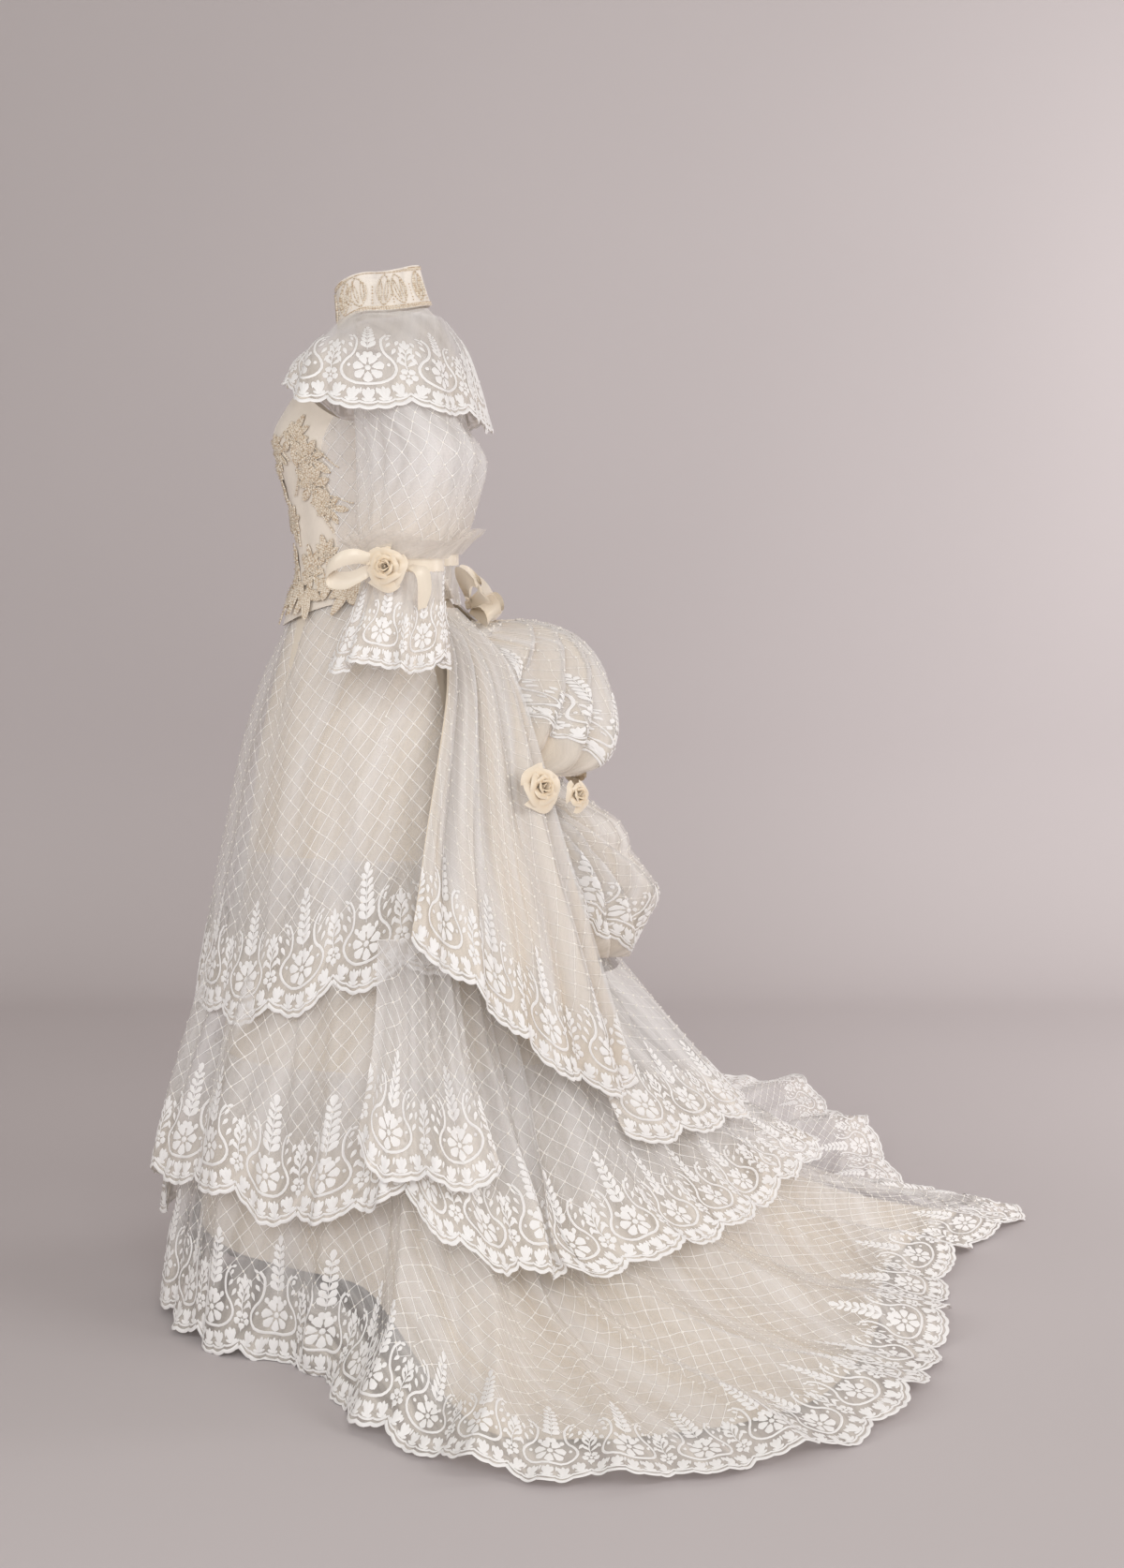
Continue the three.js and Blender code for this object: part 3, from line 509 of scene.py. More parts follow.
@once
def rayon_embroidery(name):
    """Satin-stitched rayon thread: bright, with a stitch line across each shape, drawn coarse enough to show."""
    tree = new_tree(name)
    where = add(tree, "ShaderNodeUVMap", CUT).outputs["UV"]
    stitches = add(
        tree,
        "ShaderNodeTexWave",
        {"wave_type": "BANDS", "bands_direction": "DIAGONAL"},
        {"Vector": where, "Scale": per_metre(0.8) / WAVE, "Distortion": 2.0},
    ).outputs["Fac"]
    bump = add(tree, "ShaderNodeBump", None, {"Height": stitches, "Strength": 0.25, "Distance": 0.0003}).outputs[0]
    thread = rgba(colours().thread)
    finish_surface(tree, {"Base Color": thread, "Roughness": 0.55, "Normal": bump, "Sheen Weight": 0.3})


@once
def corded_beadwork(name):
    """Padded cord sewn over with small beads: warm, half glossy, knobbly, with shade painted darker and browner
    between the beads.
    """
    tree = new_tree(name)
    where = add(tree, "ShaderNodeUVMap", CUT).outputs["UV"]
    beads = add(
        tree,
        "ShaderNodeTexVoronoi",
        {"voronoi_dimensions": "2D"},
        {"Vector": where, "Scale": per_metre(3.2), "Randomness": 0.4},
    ).outputs["Distance"]
    # Painted shade: between the beads the colour is painted darker and browner, where shade falls into the gaps.
    gap_shade_mask = add(tree, "ShaderNodeMapRange", None, {"Value": beads, "From Min": 0.25, "From Max": 0.65})
    painted_gap_shade = rgba(colours().cord, (0.6, 0.48, 0.36))
    tone = add(tree, "ShaderNodeMix", COLOUR, {0: gap_shade_mask.outputs["Result"], 6: rgba(colours().cord), 7: painted_gap_shade})
    bump = add(tree, "ShaderNodeBump", {"invert": True}, {"Height": beads, "Strength": 0.7, "Distance": 0.001})
    finish_surface(tree, {"Base Color": tone.outputs[2], "Roughness": 0.36, "Normal": bump.outputs[0]})


@once
def glass_pearl(name):
    """Glass pearl: a smooth lacquered ball with a slightly uneven lustre."""
    tree = new_tree(name)
    cloud = add(tree, "ShaderNodeTexNoise", None, {"Scale": per_metre(3)}).outputs["Fac"]
    tone = add(tree, "ShaderNodeMix", COLOUR, {0: cloud, 6: rgba(colours().pearl, 0.93), 7: rgba(colours().pearl)})
    finish_surface(tree, {"Base Color": tone.outputs[2], "Roughness": 0.22, "Coat Weight": 0.5})


@once
def studio_paper(name):
    """Matt seamless background paper, faintly cloudy."""
    tree = new_tree(name)
    where = add(tree, "ShaderNodeTexCoord").outputs["Object"]
    cloud = add(tree, "ShaderNodeTexNoise", None, {"Vector": where, "Scale": 0.9, "Detail": 1.0}).outputs["Fac"]
    paper = colours().studio
    tone = add(tree, "ShaderNodeMix", COLOUR, {0: cloud, 6: rgba(paper, 0.95), 7: rgba(paper, 1.03)})
    finish_surface(tree, {"Base Color": tone.outputs[2], "Roughness": 0.9})


# ---------------------------------------------------------------- curves
def mix(a, b, t):
    return a + (b - a) * t


def ease(low, high, value):
    """A smooth step from 0 at low to 1 at high."""
    t = np.clip((value - low) / (high - low), 0.0, 1.0)
    return t * t * (3.0 - 2.0 * t)


def column(rows, name, place, ends=None):
    """A table's column at a place counted in rows, on a smooth curve through the rows.

    ends is None to run straight on at both ends, or 1 or -1 to mirror there."""
    v = rows[name]
    last = len(v) - 1
    if ends is None:
        padded = np.concatenate([[2 * v[0] - v[1]], v, [2 * v[-1] - v[-2]]])
        place = np.clip(place, 0, last)
    else:
        padded = np.concatenate([[ends * v[1]], v, [ends * v[-2]]])
    i = np.clip(np.floor(place).astype(int), 0, last - 1)
    t = place - i
    a, b, c, d = padded[i], padded[i + 1], padded[i + 2], padded[i + 3]
    return b + 0.5 * t * (c - a + t * (2 * a - 5 * b + 4 * c - d + t * (3 * (b - c) + d - a)))


def columns_at(rows, share):
    """Every column of a table at a share of the way down it."""
    place = share * (len(next(iter(rows.values()))) - 1)
    return {name: column(rows, name, place) for name in rows}


def each_row(rows):
    """The rows of a table, one after the other."""
    return [dict(zip(rows, values)) for values in zip(*rows.values())]


def along(pairs, x):
    """Eased value at x in a list of (x, value) pairs."""
    value = np.full(np.shape(x), float(pairs[0][1]))
    for (x0, v0), (x1, v1) in zip(pairs, pairs[1:]):
        value = np.where(x > x0, mix(v0, v1, ease(x0, x1, x)), value)
    return value


def waves(count, turn, shift=0.0):
    """So many even waves in a full turn."""
    return np.sin(2 * np.pi * count * turn + shift)


def ripple(turn, count, seed):
    """An uneven ripple from 0 to 1, count folds in a full turn."""
    wander = 1.1 * waves(5, turn, seed) + 0.7 * waves(11, turn, 2.3 * seed)
    return 0.5 + 0.5 * waves(count, turn, wander)


def grid(columns, rows):
    """Shares across and down a piece of cloth, as two arrays."""
    return np.meshgrid(np.linspace(0, 1, columns + 1), np.linspace(0, 1, rows + 1))


def creases(folds, u, v):
    """Soft troughs (deep below 0) and ridges given one by one, in millimetres."""
    total = np.zeros(np.shape(u))
    for fold in each_row(folds):
        middle = mix(fold["top"], fold["foot"], v)
        spread = fold["wide"] * mix(1, fold["flare"], v)
        starts = ease(fold["start"] - 0.08, fold["start"] + 0.08, v)
        reach = starts * (1 - ease(fold["end"] - 0.12, fold["end"] + 0.12, v))
        total = total + fold["deep"] * reach * np.exp(-(((u - middle) / spread) ** 2))
    return total


def cell_corners(values):
    """Values at the four corners of each cell of a grid, going round."""
    return np.stack([values[:-1, :-1], values[:-1, 1:], values[1:, 1:], values[1:, :-1]], axis=-1)


# ---------------------------------------------------------------- cloth
def unit(vectors):
    return vectors / np.maximum(np.linalg.norm(vectors, axis=-1, keepdims=True), 1e-9)


def between(values, columns, rows):
    """Values of a grid at fractional places."""
    high, wide = values.shape[:2]
    i = np.clip(np.floor(columns).astype(int), 0, wide - 2)
    j = np.clip(np.floor(rows).astype(int), 0, high - 2)
    s, t = columns - i, rows - j
    if values.ndim > 2:
        s, t = s[..., None], t[..., None]
    return mix(mix(values[j, i], values[j, i + 1], s), mix(values[j + 1, i], values[j + 1, i + 1], s), t)


def evened(values, reach):
    """Values averaged along the rows, so that what is drawn with them runs straight across folds."""
    for _ in range(2):
        wide = np.pad(values, ((0, 0), (reach, reach)), mode="reflect", reflect_type="odd")
        sums = np.cumsum(np.pad(wide, ((0, 0), (1, 0))), axis=1)
        values = (sums[:, 2 * reach + 1 :] - sums[:, : -2 * reach - 1]) / (2 * reach + 1)
    return values


class Cloth:
    """A grid of points on a piece of cloth, in metres: rows from its top to its hem."""

    def __init__(self, points, closed=False):
        self.points = points
        self.closed = closed
        self.measure()
        # Kept from before the hem is scalloped, so that what is sewn on is laid out straight.
        self.hem_run = self.run[-1].copy()
        self.plain_rise = self.rise

    def measure(self):
        """Works out the normals, the run along each row and the rise above the hem."""
        p = self.points
        across = np.gradient(p, axis=1)
        if self.closed:
            across[:, 0] = across[:, -1] = (p[:, 1] - p[:, -2]) / 2
        normal = np.cross(np.gradient(p, axis=0), across)
        self.normals = normal / np.maximum(np.linalg.norm(normal, axis=2, keepdims=True), 1e-12)
        steps = np.linalg.norm(np.diff(p, axis=1), axis=2)
        self.run = np.concatenate([np.zeros((len(p), 1)), np.cumsum(steps, axis=1)], axis=1)
        falls = np.linalg.norm(np.diff(p, axis=0), axis=2)
        up = np.cumsum(falls[::-1], axis=0)[::-1]
        self.rise = np.concatenate([up, np.zeros((1, p.shape[1]))], axis=0)

    def hem_length(self):
        return self.hem_run[-1]

    def repeats(self, pitch=None):
        """How many whole lace repeats the hem takes, and how long each then is."""
        count = max(1, round(self.hem_length() / (pitch or sizes().repeat)))
        return count, self.hem_length() / count

    def scallop(self, depth=None, pitch=None):
        """Lets the hem hang in scallops, one to each lace repeat."""
        depth = depth or sizes().scallop
        reach = 3.2 * depth
        _, length = self.repeats(pitch)
        down = self.points[-1] - self.points[-2]
        down /= np.linalg.norm(down, axis=1, keepdims=True)
        drop = scallop_depth(self.hem_run / length, depth)
        share = 1 - ease(0, reach, self.rise)
        self.points = self.points + (share * drop)[..., None] * down
        self.points[..., 2] = np.maximum(self.points[..., 2], FLOOR + 0.001)
        self.measure()

    def sample(self, columns, rows):
        """Points and normals at fractional grid places."""
        return between(self.points, columns, rows), unit(between(self.normals, columns, rows))

    def at_hem(self, across, up):
        """Grid places that far along the hem and up from it, and which of them are on the cloth."""
        columns = np.interp(across, self.hem_run, np.arange(len(self.hem_run)))
        i = np.clip(np.floor(columns).astype(int), 0, self.points.shape[1] - 2)
        s = columns - i
        rise = mix(self.rise[:, i], self.rise[:, i + 1], s)
        j = np.clip((rise > up).sum(axis=0) - 1, 0, len(rise) - 2)
        each = np.arange(len(up))
        rows = j + (rise[j, each] - up) / np.maximum(rise[j, each] - rise[j + 1, each], 1e-9)
        inside = (across >= 0) & (across <= self.hem_run[-1]) & (up < rise[0] - 0.002)
        return columns, rows, inside

    def cut(self):
        """The flat size of the cut, and its area, in metres."""
        p = self.points
        a = np.cross(p[1:, 1:] - p[:-1, :-1], p[1:, :-1] - p[:-1, 1:])
        area = float(np.linalg.norm(a, axis=2).sum() / 2)
        width, length = float(self.run[:, -1].max()), float(self.rise[0].max())
        if area < 0.5 * width * length:
            # A flared gore is cut as part of a ring, so its hem bends round its narrow top.
            top, hem = self.run[0, -1], self.run[-1, -1]
            bend = (hem - top) / self.rise[0].mean()
            half = min(bend, math.pi) / 2
            width = 2 * hem / bend * math.sin(half)
            length += top / bend * (1 - math.cos(half))
        return width, length, area


def scallop_depth(turns, depth):
    """How far a scalloped edge hangs at a place counted in repeats."""
    from_middle = 2 * np.abs(turns - np.floor(turns) - 0.5)
    return depth * (1 - from_middle**2.3)


def to_frame(x, y, z):
    """Millimetres above the floor, as points in metres from the shoulders."""
    points = np.stack(np.broadcast_arrays(x, y, z), axis=-1) * MM
    points[..., 2] -= SHOULDER_HEIGHT * MM
    return points


def put(name, data):
    """Puts a mesh, a light or a camera in the scene."""
    made = bpy.data.objects.new(name, data)
    bpy.context.collection.objects.link(made)
    return made


def set_piece(name, made, material, nodes=()):
    """Makes a mesh from points in metres, faces and places on the cut; it rides on the gown."""
    points, faces, cut = made
    mesh = bpy.data.meshes.new(name)
    mesh.vertices.add(len(points))
    mesh.vertices.foreach_set("co", np.asarray(points, np.float32).ravel())
    mesh.loops.add(faces.size)
    mesh.loops.foreach_set("vertex_index", faces.astype(np.int32).ravel())
    mesh.polygons.add(len(faces))
    mesh.polygons.foreach_set("loop_start", np.arange(0, faces.size, faces.shape[1], dtype=np.int32))
    mesh.update(calc_edges=True)
    layer = mesh.uv_layers.new(name="cut")
    layer.uv.foreach_set("vector", np.asarray(cut, np.float32)[faces.ravel()].ravel())
    mesh.shade_smooth()
    mesh.materials.append(material)
    piece = put(name, mesh)
    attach(piece, "root")
    if nodes:
        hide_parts(*nodes)
    return piece


def set_cloth(name, cloth, material, nodes):
    """Makes a piece of cloth with its places on the flat cut; the size and area of the cut are worked out but not
    kept.
    """
    high, wide = cloth.points.shape[:2]
    index = np.arange(high * wide).reshape(high, wide)
    if cloth.closed:
        index[:, -1] = index[:, 0]
    faces = cell_corners(index)[..., [0, 3, 2, 1]].reshape(-1, 4)
    cut = np.stack([cloth.run - cloth.run[:, wide // 2, None], cloth.rise], axis=-1).reshape(-1, 2)
    piece = set_piece(name, (cloth.points.reshape(-1, 3), faces, cut), material, nodes)
    width, length, area = cloth.cut()
    return piece


# ---------------------------------------------------------------- the skirt's surface
def between_kinds(station, value):
    """A value given for the front, side, quarter and back, blended round the skirt."""
    result = value(KINDS[0][0])
    for (_, low), (kind, high) in zip(KINDS, KINDS[1:]):
        result = mix(result, value(kind), ease(low, high, station))
    return result


def turn_station(turn):
    """Where a turn lies between centre front (0) and centre back (STATIONS), on either side."""
    return STATIONS * (1 - np.abs(1 - 2 * (turn - np.floor(turn))))


def station_turn(station, side):
    """The turn at which a station lies on one side."""
    share = station / (2 * STATIONS)
    return share if side == LEFT else 1 - share


def hem_point(station):
    return np.stack([column(HEM, "x", station, -1), column(HEM, "y", station, 1)], axis=-1)


def ruling_point(turn, level):
    """The surface that every layer of the skirt is lifted from."""
    whole = turn - np.floor(turn)
    side = np.where(whole <= 0.5, 1.0, -1.0)
    station = turn_station(turn)
    angle = np.radians(column(HEM, "waist", station))
    depth = np.where(np.cos(angle) > 0, WAIST_FRONT, WAIST_BACK)
    waist = np.stack([WAIST_SIDE * np.sin(angle), -depth * np.cos(angle)], axis=-1)
    hem = hem_point(station)
    step = 0.25
    tangent = hem_point(np.minimum(station + step, STATIONS)) - hem_point(np.maximum(station - step, 0))
    inward = unit(np.stack([-tangent[..., 1], tangent[..., 0]], axis=-1))
    direct = waist - hem
    reach = np.linalg.norm(direct, axis=-1)
    squareness = 0.5 * ease(0.5, 5, station) * (1 - ease(10, 15.8, station))
    aim = unit(mix(unit(direct), inward, squareness[..., None]))
    bend = hem + aim * (reach * BEND_AT)[..., None]
    stretch = ease(4.5, HEM_LEVEL, level)
    t = between_kinds(
        station,
        lambda kind: column(LEVELS, kind, level) * mix(1 / reach, 1 / LEVELS[kind][HEM_LEVEL], stretch),
    )[..., None]
    plan = waist * (1 - t) ** 2 + bend * (2 * t * (1 - t)) + hem * t**2
    z = between_kinds(station, lambda kind: column(LEVELS, kind + "Z", level))
    return np.stack([side * plan[..., 0], plan[..., 1], z], axis=-1)


def swept(p):
    """Draws the train to the right, more and more towards its tip."""
    x, y, z = p[..., 0], p[..., 1], p[..., 2]
    low = 1 - ease(150, 400, z)
    z = z + FAR_RISE * low * ease(120, 450, -x) * ease(350, 600, y) * (1 - ease(800, 980, y))
    x = x * (1 + FAR_SPREAD * low * ease(350, 850, -x) * (1 - ease(700, 1000, y)))
    out = np.clip((y - TRAIN_START) / (TRAIN_END - TRAIN_START), 0, 1.2) ** 1.35
    x = x - TRAIN_SWEEP * out * (1 - ease(100, SWEEP_HEIGHT, z))
    return x, y, z


def lifted_point(turn, level, lift):
    """A point of the skirt's surface, moved out from it square by so many millimetres."""
    small, near = 0.004, 0.1
    across = ruling_point(turn + small, level) - ruling_point(turn - small, level)
    below, above = np.minimum(level + near, HEM_LEVEL), np.maximum(level - near, 0)
    down = ruling_point(turn, below) - ruling_point(turn, above)
    return ruling_point(turn, level) + unit(np.cross(down, across)) * lift[..., None]


def eased_out(points):
    """Spreads columns that crowd together in the hollow between the skirt and the train."""
    for _ in range(14):
        step = np.linalg.norm(np.diff(points, axis=1), axis=2)
        tight = step < 0.5 * np.median(step, axis=1)[:, None]
        near = np.zeros(points.shape[:2], bool)
        for shift in range(-3, 5):
            low, high = max(0, shift), min(points.shape[1], tight.shape[1] + shift)
            near[:, low:high] |= tight[:, low - shift : high - shift]
        near[:, (0, -1)] = False
        beside = points.copy()
        beside[:, 1:-1] = (points[:, :-2] + 2 * points[:, 1:-1] + points[:, 2:]) / 4
        points = np.where(near[..., None], beside, points)
    return points


def skirt_cloth(columns, rows, start, end, top, hem, lift, depth, count, seed, folds=None):
    """A layer of the skirt between two turns and two levels, with its gathers and creases."""
    u, v = grid(columns, rows)
    turn = mix(start, end, u)
    station = turn_station(turn)
    right = turn - np.floor(turn) > 0.5
    low = np.where(right, along(hem.get("right", hem["left"]), station), along(hem["left"], station))
    level = mix(along(top, station), low, v)
    deep = depth(level, station)
    share = 1.0 if folds is None else RIPPLE_WITH_FOLDS
    raised = lift(level, station) + deep * (0.5 + share * (ripple(turn, count, seed) - 0.5))
    # Narrow gathers run down from the seam between the large folds.
    raised = raised + 0.1 * deep * waves(3.1 * count, turn, 4 * np.sin(9 * turn + seed))
    if folds is not None:
        raised = raised + creases(folds, u if start < 0.5 else 1 - u, v)
    x, y, z = swept(lifted_point(turn, level, raised))
    return Cloth(eased_out(to_frame(x, y, np.maximum(z, LOWEST_POINT))))


def rising(low, high, start, end):
    """A height that goes from low at one level to high at another."""
    return lambda level, station: mix(low, high, ease(start, end, level))


# ---------------------------------------------------------------- embroidery
def smooth_path(points, steps):
    """Points on a smooth curve through a few places."""
    points = np.array(points, float)
    rows = {"x": points[:, 0], "y": points[:, 1], "z": points[:, 2]}
    places = np.linspace(0, len(points) - 1, steps)
    return np.stack([column(rows, name, places) for name in "xyz"], axis=1)


def placed(x, y, turn, across, up):
    """A place measured across and up from x, y, along a line turned by so many degrees."""
    sin, cos = math.sin(math.radians(turn)), math.cos(math.radians(turn))
    return x + across * cos + up * sin, y + up * cos - across * sin


def loop_path(x, y, turn, length, width):
    """A closed leaf-shaped outline from its root."""
    path = []
    for s in np.linspace(0, 2 * math.pi, 15):
        across = width / 2 * math.sin(s) * abs(math.sin(s)) ** 0.7
        path.append(placed(x, y, turn, across, length * (1 - math.cos(s)) / 2))
    return path


class Stitching:
    """Embroidery drawn flat in millimetres: x along the hem, y up from it, z proud of the net."""

    def __init__(self):
        self.points = []
        self.faces = []

    def cord(self, path, width, height=0.9):
        """A padded cord along a path: two edges and a raised middle line."""
        path = np.asarray(path, float)
        ahead = unit(np.gradient(path, axis=0))
        aside = np.stack([-ahead[:, 1], ahead[:, 0]], axis=1) * width / 2
        first = len(self.points)
        for at, out in zip(path, aside):
            self.points += [(*(at + out), 0.0), (*at, height), (*(at - out), 0.0)]
        for i in range(len(path) - 1):
            a = first + 3 * i
            for k in (0, 1):
                self.faces += [(a + k, a + k + 1, a + k + 4), (a + k, a + k + 4, a + k + 3)]

    def mound(self, rim, tip):
        """Faces that rise from a closed rim to a tip."""
        first, count = len(self.points), len(rim)
        self.points += [*((x, y, 0.0) for x, y in rim), tip]
        self.faces += [(first + i, first + (i + 1) % count, first + count) for i in range(count)]

    def petal(self, x, y, turn, length, width, height=1.0, blunt=0.62):
        """A satin-stitched petal or leaf from its root at x, y; turn is degrees from straight up,
        and blunt the share of its length at which it is widest."""
        edge = [(0.62, 0.28), (1.0, blunt), (0.6, 0.9)] if length >= 10 else [(0.9, 0.5 * blunt), (0.8, 0.85)]
        outline = [(0.0, 0.0), *edge, (0.0, 1.0), *((-across, up) for across, up in reversed(edge))]
        rim = [placed(x, y, turn, across * width / 2, up * length) for across, up in outline]
        self.mound(rim, (*placed(x, y, turn, 0, 0.55 * length), height))

    def bead(self, x, y, radius, around=6, height=None):
        """A round bead, as high as its radius unless a height is given."""
        angles = [2 * math.pi * i / around for i in range(around)]
        self.mound([(x + radius * math.cos(a), y + radius * math.sin(a)) for a in angles], (x, y, height or radius))

    def flower(self, x, y, radius, petals, turn=0.0):
        """A ring of petals round a bead."""
        for k in range(petals):
            way = turn + 360 * k / petals
            root = placed(x, y, way, 0, 0.24 * radius)
            self.petal(*root, way, 0.8 * radius, 1.9 * math.pi * radius / petals * 0.72, 1.3, 0.74)
        self.bead(x, y, 0.2 * radius, 7, 2.0)

    def frond(self, x, y, turn, length, pairs, leaf, width):
        """A stem with pairs of leaves and one at its tip."""
        self.cord([placed(x, y, turn, 0, s * length) for s in np.linspace(0, 1, 6)], 1.3)
        for k in range(pairs):
            s = (k + 0.4) / pairs
            size = 1 - 0.35 * s
            for way in (-1, 1):
                self.petal(*placed(x, y, turn, 0, s * length), turn + way * 42, leaf * size, width * size)
        self.petal(*placed(x, y, turn, 0, length), turn, leaf * 0.9, width)

    def tulip(self, x, y, turn, size):
        """A flower head that stands on its root: a pointed middle, two cheeks and two low leaves."""
        for a, length, width in TULIP_PETALS:
            self.petal(x, y, turn + a, length * size, width * size, 1.4, 0.68)

    def leaf(self, x, y, turn, length, width):
        """A padded leaf with a rib of beads and a cord round it."""
        self.petal(x, y, turn, length, width, 3.2, 0.5)
        self.cord(loop_path(x, y, turn, length, width), 1.7, 2.2)
        for k in range(2, int(length / 4.4)):
            self.bead(*placed(x, y, turn, 0, 4.4 * k), 1.5, 6, 4.6)

    def lower(self, first, drop):
        """Moves all that was drawn from one point on towards the hem."""
        self.points[first:] = [(x, y - drop, z) for x, y, z in self.points[first:]]

    def arrays(self):
        return np.array(self.points), np.array(self.faces)


# One side of the lace border, in millimetres out from the middle of a repeat and up from the hem:
# the lyre's cord, and the petals on it, each with its root, turn, length and width.
LYRE = ((0, 34), (17, 36), (32, 45), (38, 59), (33, 72), (24, 82), (20, 95), (20.5, 110), (28, 122))
LYRE_PETALS = (
    (28, 120, 66, 10, 4.6),
    (13, 74, 24, 11, 7),
    (0, 75, 30, 12, 8.5),
    (39, 68, 30, 13, 6),
    (33, 81, 28, 13, 6),
    (26, 94, 34, 12, 5.6),
    (27, 108, 30, 11, 5),
    (45, 84, 12, 12, 6),
    (40, 98, 20, 12, 6),
)
JOINT_LEAVES = ((58, 52, 15), (68, 42, 16), (78, 34, 16), (86, 24, 15))  # height, turn, length
TULIPS = 5


def lace_border(pitch_mm, depth_mm):
    """One repeat of the lace border: a scalloped double cord, a row of flower heads, and a
    lyre-shaped cord that holds a flower with a frond above it."""
    drawn = Stitching()
    half, apart = pitch_mm / 2, pitch_mm / TULIPS

    def edge(x):
        return -scallop_depth(np.asarray(x) / pitch_mm + 0.5, depth_mm)

    x = np.linspace(-half, half, 41)
    small = np.abs(np.sin(np.pi * TULIPS * (x / pitch_mm + 0.5)))
    drawn.cord(np.stack([x, edge(x) + 2.6 - 3.0 * small], axis=1), 5.4, 1.7)
    drawn.cord(np.stack([x, edge(x) + 10.4 - 2.6 * small**0.7], axis=1), 3.0, 1.2)
    for k in range(TULIPS):
        from_middle = k - (TULIPS - 1) / 2
        at, lean = from_middle * pitch_mm / TULIPS, 8 * from_middle
        drawn.tulip(at, float(edge(at)) + 10, -lean, 27)
        gap = at + apart / 2
        drawn.petal(gap, float(edge(gap)) + 21, -lean, 11, 3.6)
    first = len(drawn.points)
    for way in (-1, 1):
        drawn.cord(smooth_path([(way * a, b, 0) for a, b in LYRE], 18)[:, :2], 4.0, 1.5)
        for a, b, turn, length, width in LYRE_PETALS:
            drawn.petal(way * a, b, way * turn, length, width)
        drawn.bead(way * 28, 64, 2.8)
    drawn.flower(0, 59, 22, 7, 180 / 7)
    drawn.frond(0, 88, 0, 66, 6, 19, 10)
    drawn.lower(first, 0.95 * depth_mm - 3)
    first = len(drawn.points)
    drawn.flower(half, 43, 12, 5, 36)
    drawn.cord(smooth_path([(half, 50, 0), (half - 2, 64, 0), (half, 80, 0)], 9)[:, :2], 1.8)
    for height, turn, length in JOINT_LEAVES:
        for way in (-1, 1):
            drawn.petal(half, height, way * turn, length, 6.2)
    drawn.petal(half, 86, 0, 22, 6)
    drawn.lower(first, 6)
    return drawn.arrays()


def joined(parts):
    """Several (points, faces, cut) sets as one."""
    parts = [part for part in parts if len(part[1])]
    starts = np.cumsum([0] + [len(points) for points, _, _ in parts])
    faces = [part[1] + start for part, start in zip(parts, starts)]
    points, cuts = [part[0] for part in parts], [part[2] for part in parts]
    return np.concatenate(points), np.concatenate(faces), np.concatenate(cuts)


def keep_faces(points, faces, cut, good):
    """The faces whose corners are all good, with the points that they use."""
    faces = faces[good[faces].all(axis=1)]
    used, inverse = np.unique(faces, return_inverse=True)
    return points[used], inverse.reshape(faces.shape), cut[used]


def border_on(cloth, depth=None, pitch=None, base=None, scale=1.0):
    """The lace border sewn round a hem; base lifts it off the hem, in metres along its length."""
    depth = depth or sizes().scallop
    count, length = cloth.repeats(pitch)
    flat, faces = lace_border(length / MM / scale, depth / MM / scale)
    flat = flat * scale * MM
    starts = (np.arange(-1, count + 1) + 0.5) * length
    across = (starts[:, None] + flat[None, :, 0]).ravel()
    up = np.tile(flat[:, 1], len(starts))
    if base is None:
        up = up + scallop_depth(across / length, depth)
    else:
        up = up + depth + base(across / cloth.hem_length())
    columns, rows, inside = cloth.at_hem(across, up)
    on, out = cloth.sample(columns, rows)
    points = on + out * (np.tile(flat[:, 2], len(starts)) + LACE_PROUD)[:, None]
    every = (faces[None] + (np.arange(len(starts)) * len(flat))[:, None, None]).reshape(-1, 3)
    return keep_faces(points, every, np.stack([across, up], axis=1), inside)


def net_fields(run, rise, squares):
    """Two fields over a gore that are whole numbers along the threads of the net."""
    run = run - run[:, run.shape[1] // 2, None]
    if squares:
        a, b = run / sizes().square, rise / sizes().square
    else:
        across, up = run / sizes().net_wide, rise / sizes().net_high
        a, b = across + up, across - up
    return a + 0.31, b + 0.17


def threads_in(field, columns, rows):
    """Short lines of the net in every cell that a whole value of the field crosses."""
    f = cell_corners(field)
    whole = np.round(f.mean(axis=-1))
    place = np.stack([cell_corners(columns), cell_corners(rows)], axis=-1)
    gap = f - whole[..., None]
    ends = np.full((*gap.shape[:2], 2, 2), np.nan)
    found = np.zeros(gap.shape[:2], int)
    for k in range(4):
        a, b = gap[..., k], gap[..., (k + 1) % 4]
        crosses = (a * b < 0) & (found < 2)
        t = np.where(crosses, a / np.where(a == b, 1, a - b), 0)[..., None]
        at = mix(place[..., k, :], place[..., (k + 1) % 4, :], t)
        for end in (0, 1):
            here = crosses & (found == end)
            ends[here, end] = at[here]
        found += crosses
    return ends[found == 2]


def crossings(a, b, columns, rows):
    """Grid places where two threads cross."""
    fa, fb = cell_corners(a), cell_corners(b)
    ma, mb = fa.mean(axis=-1), fb.mean(axis=-1)
    (ax, ay), (bx, by) = slopes(fa), slopes(fb)
    ka, kb = np.round(ma), np.round(mb)
    turn = ax * by - ay * bx
    turn = np.where(np.abs(turn) < 1e-9, 1e-9, turn)
    x = ((ka - ma) * by - (kb - mb) * ay) / turn
    y = ((kb - mb) * ax - (ka - ma) * bx) / turn
    here = (np.abs(x) <= 0.5) & (np.abs(y) <= 0.5)
    return np.stack([columns[:-1, :-1][here] + 0.5 + x[here], rows[:-1, :-1][here] + 0.5 + y[here]], axis=-1)


def slopes(f):
    """How a field rises across and down each cell, from its values at the cell's corners."""
    return (
        (f[..., 1] + f[..., 2] - f[..., 0] - f[..., 3]) / 2,
        (f[..., 2] + f[..., 3] - f[..., 0] - f[..., 1]) / 2,
    )


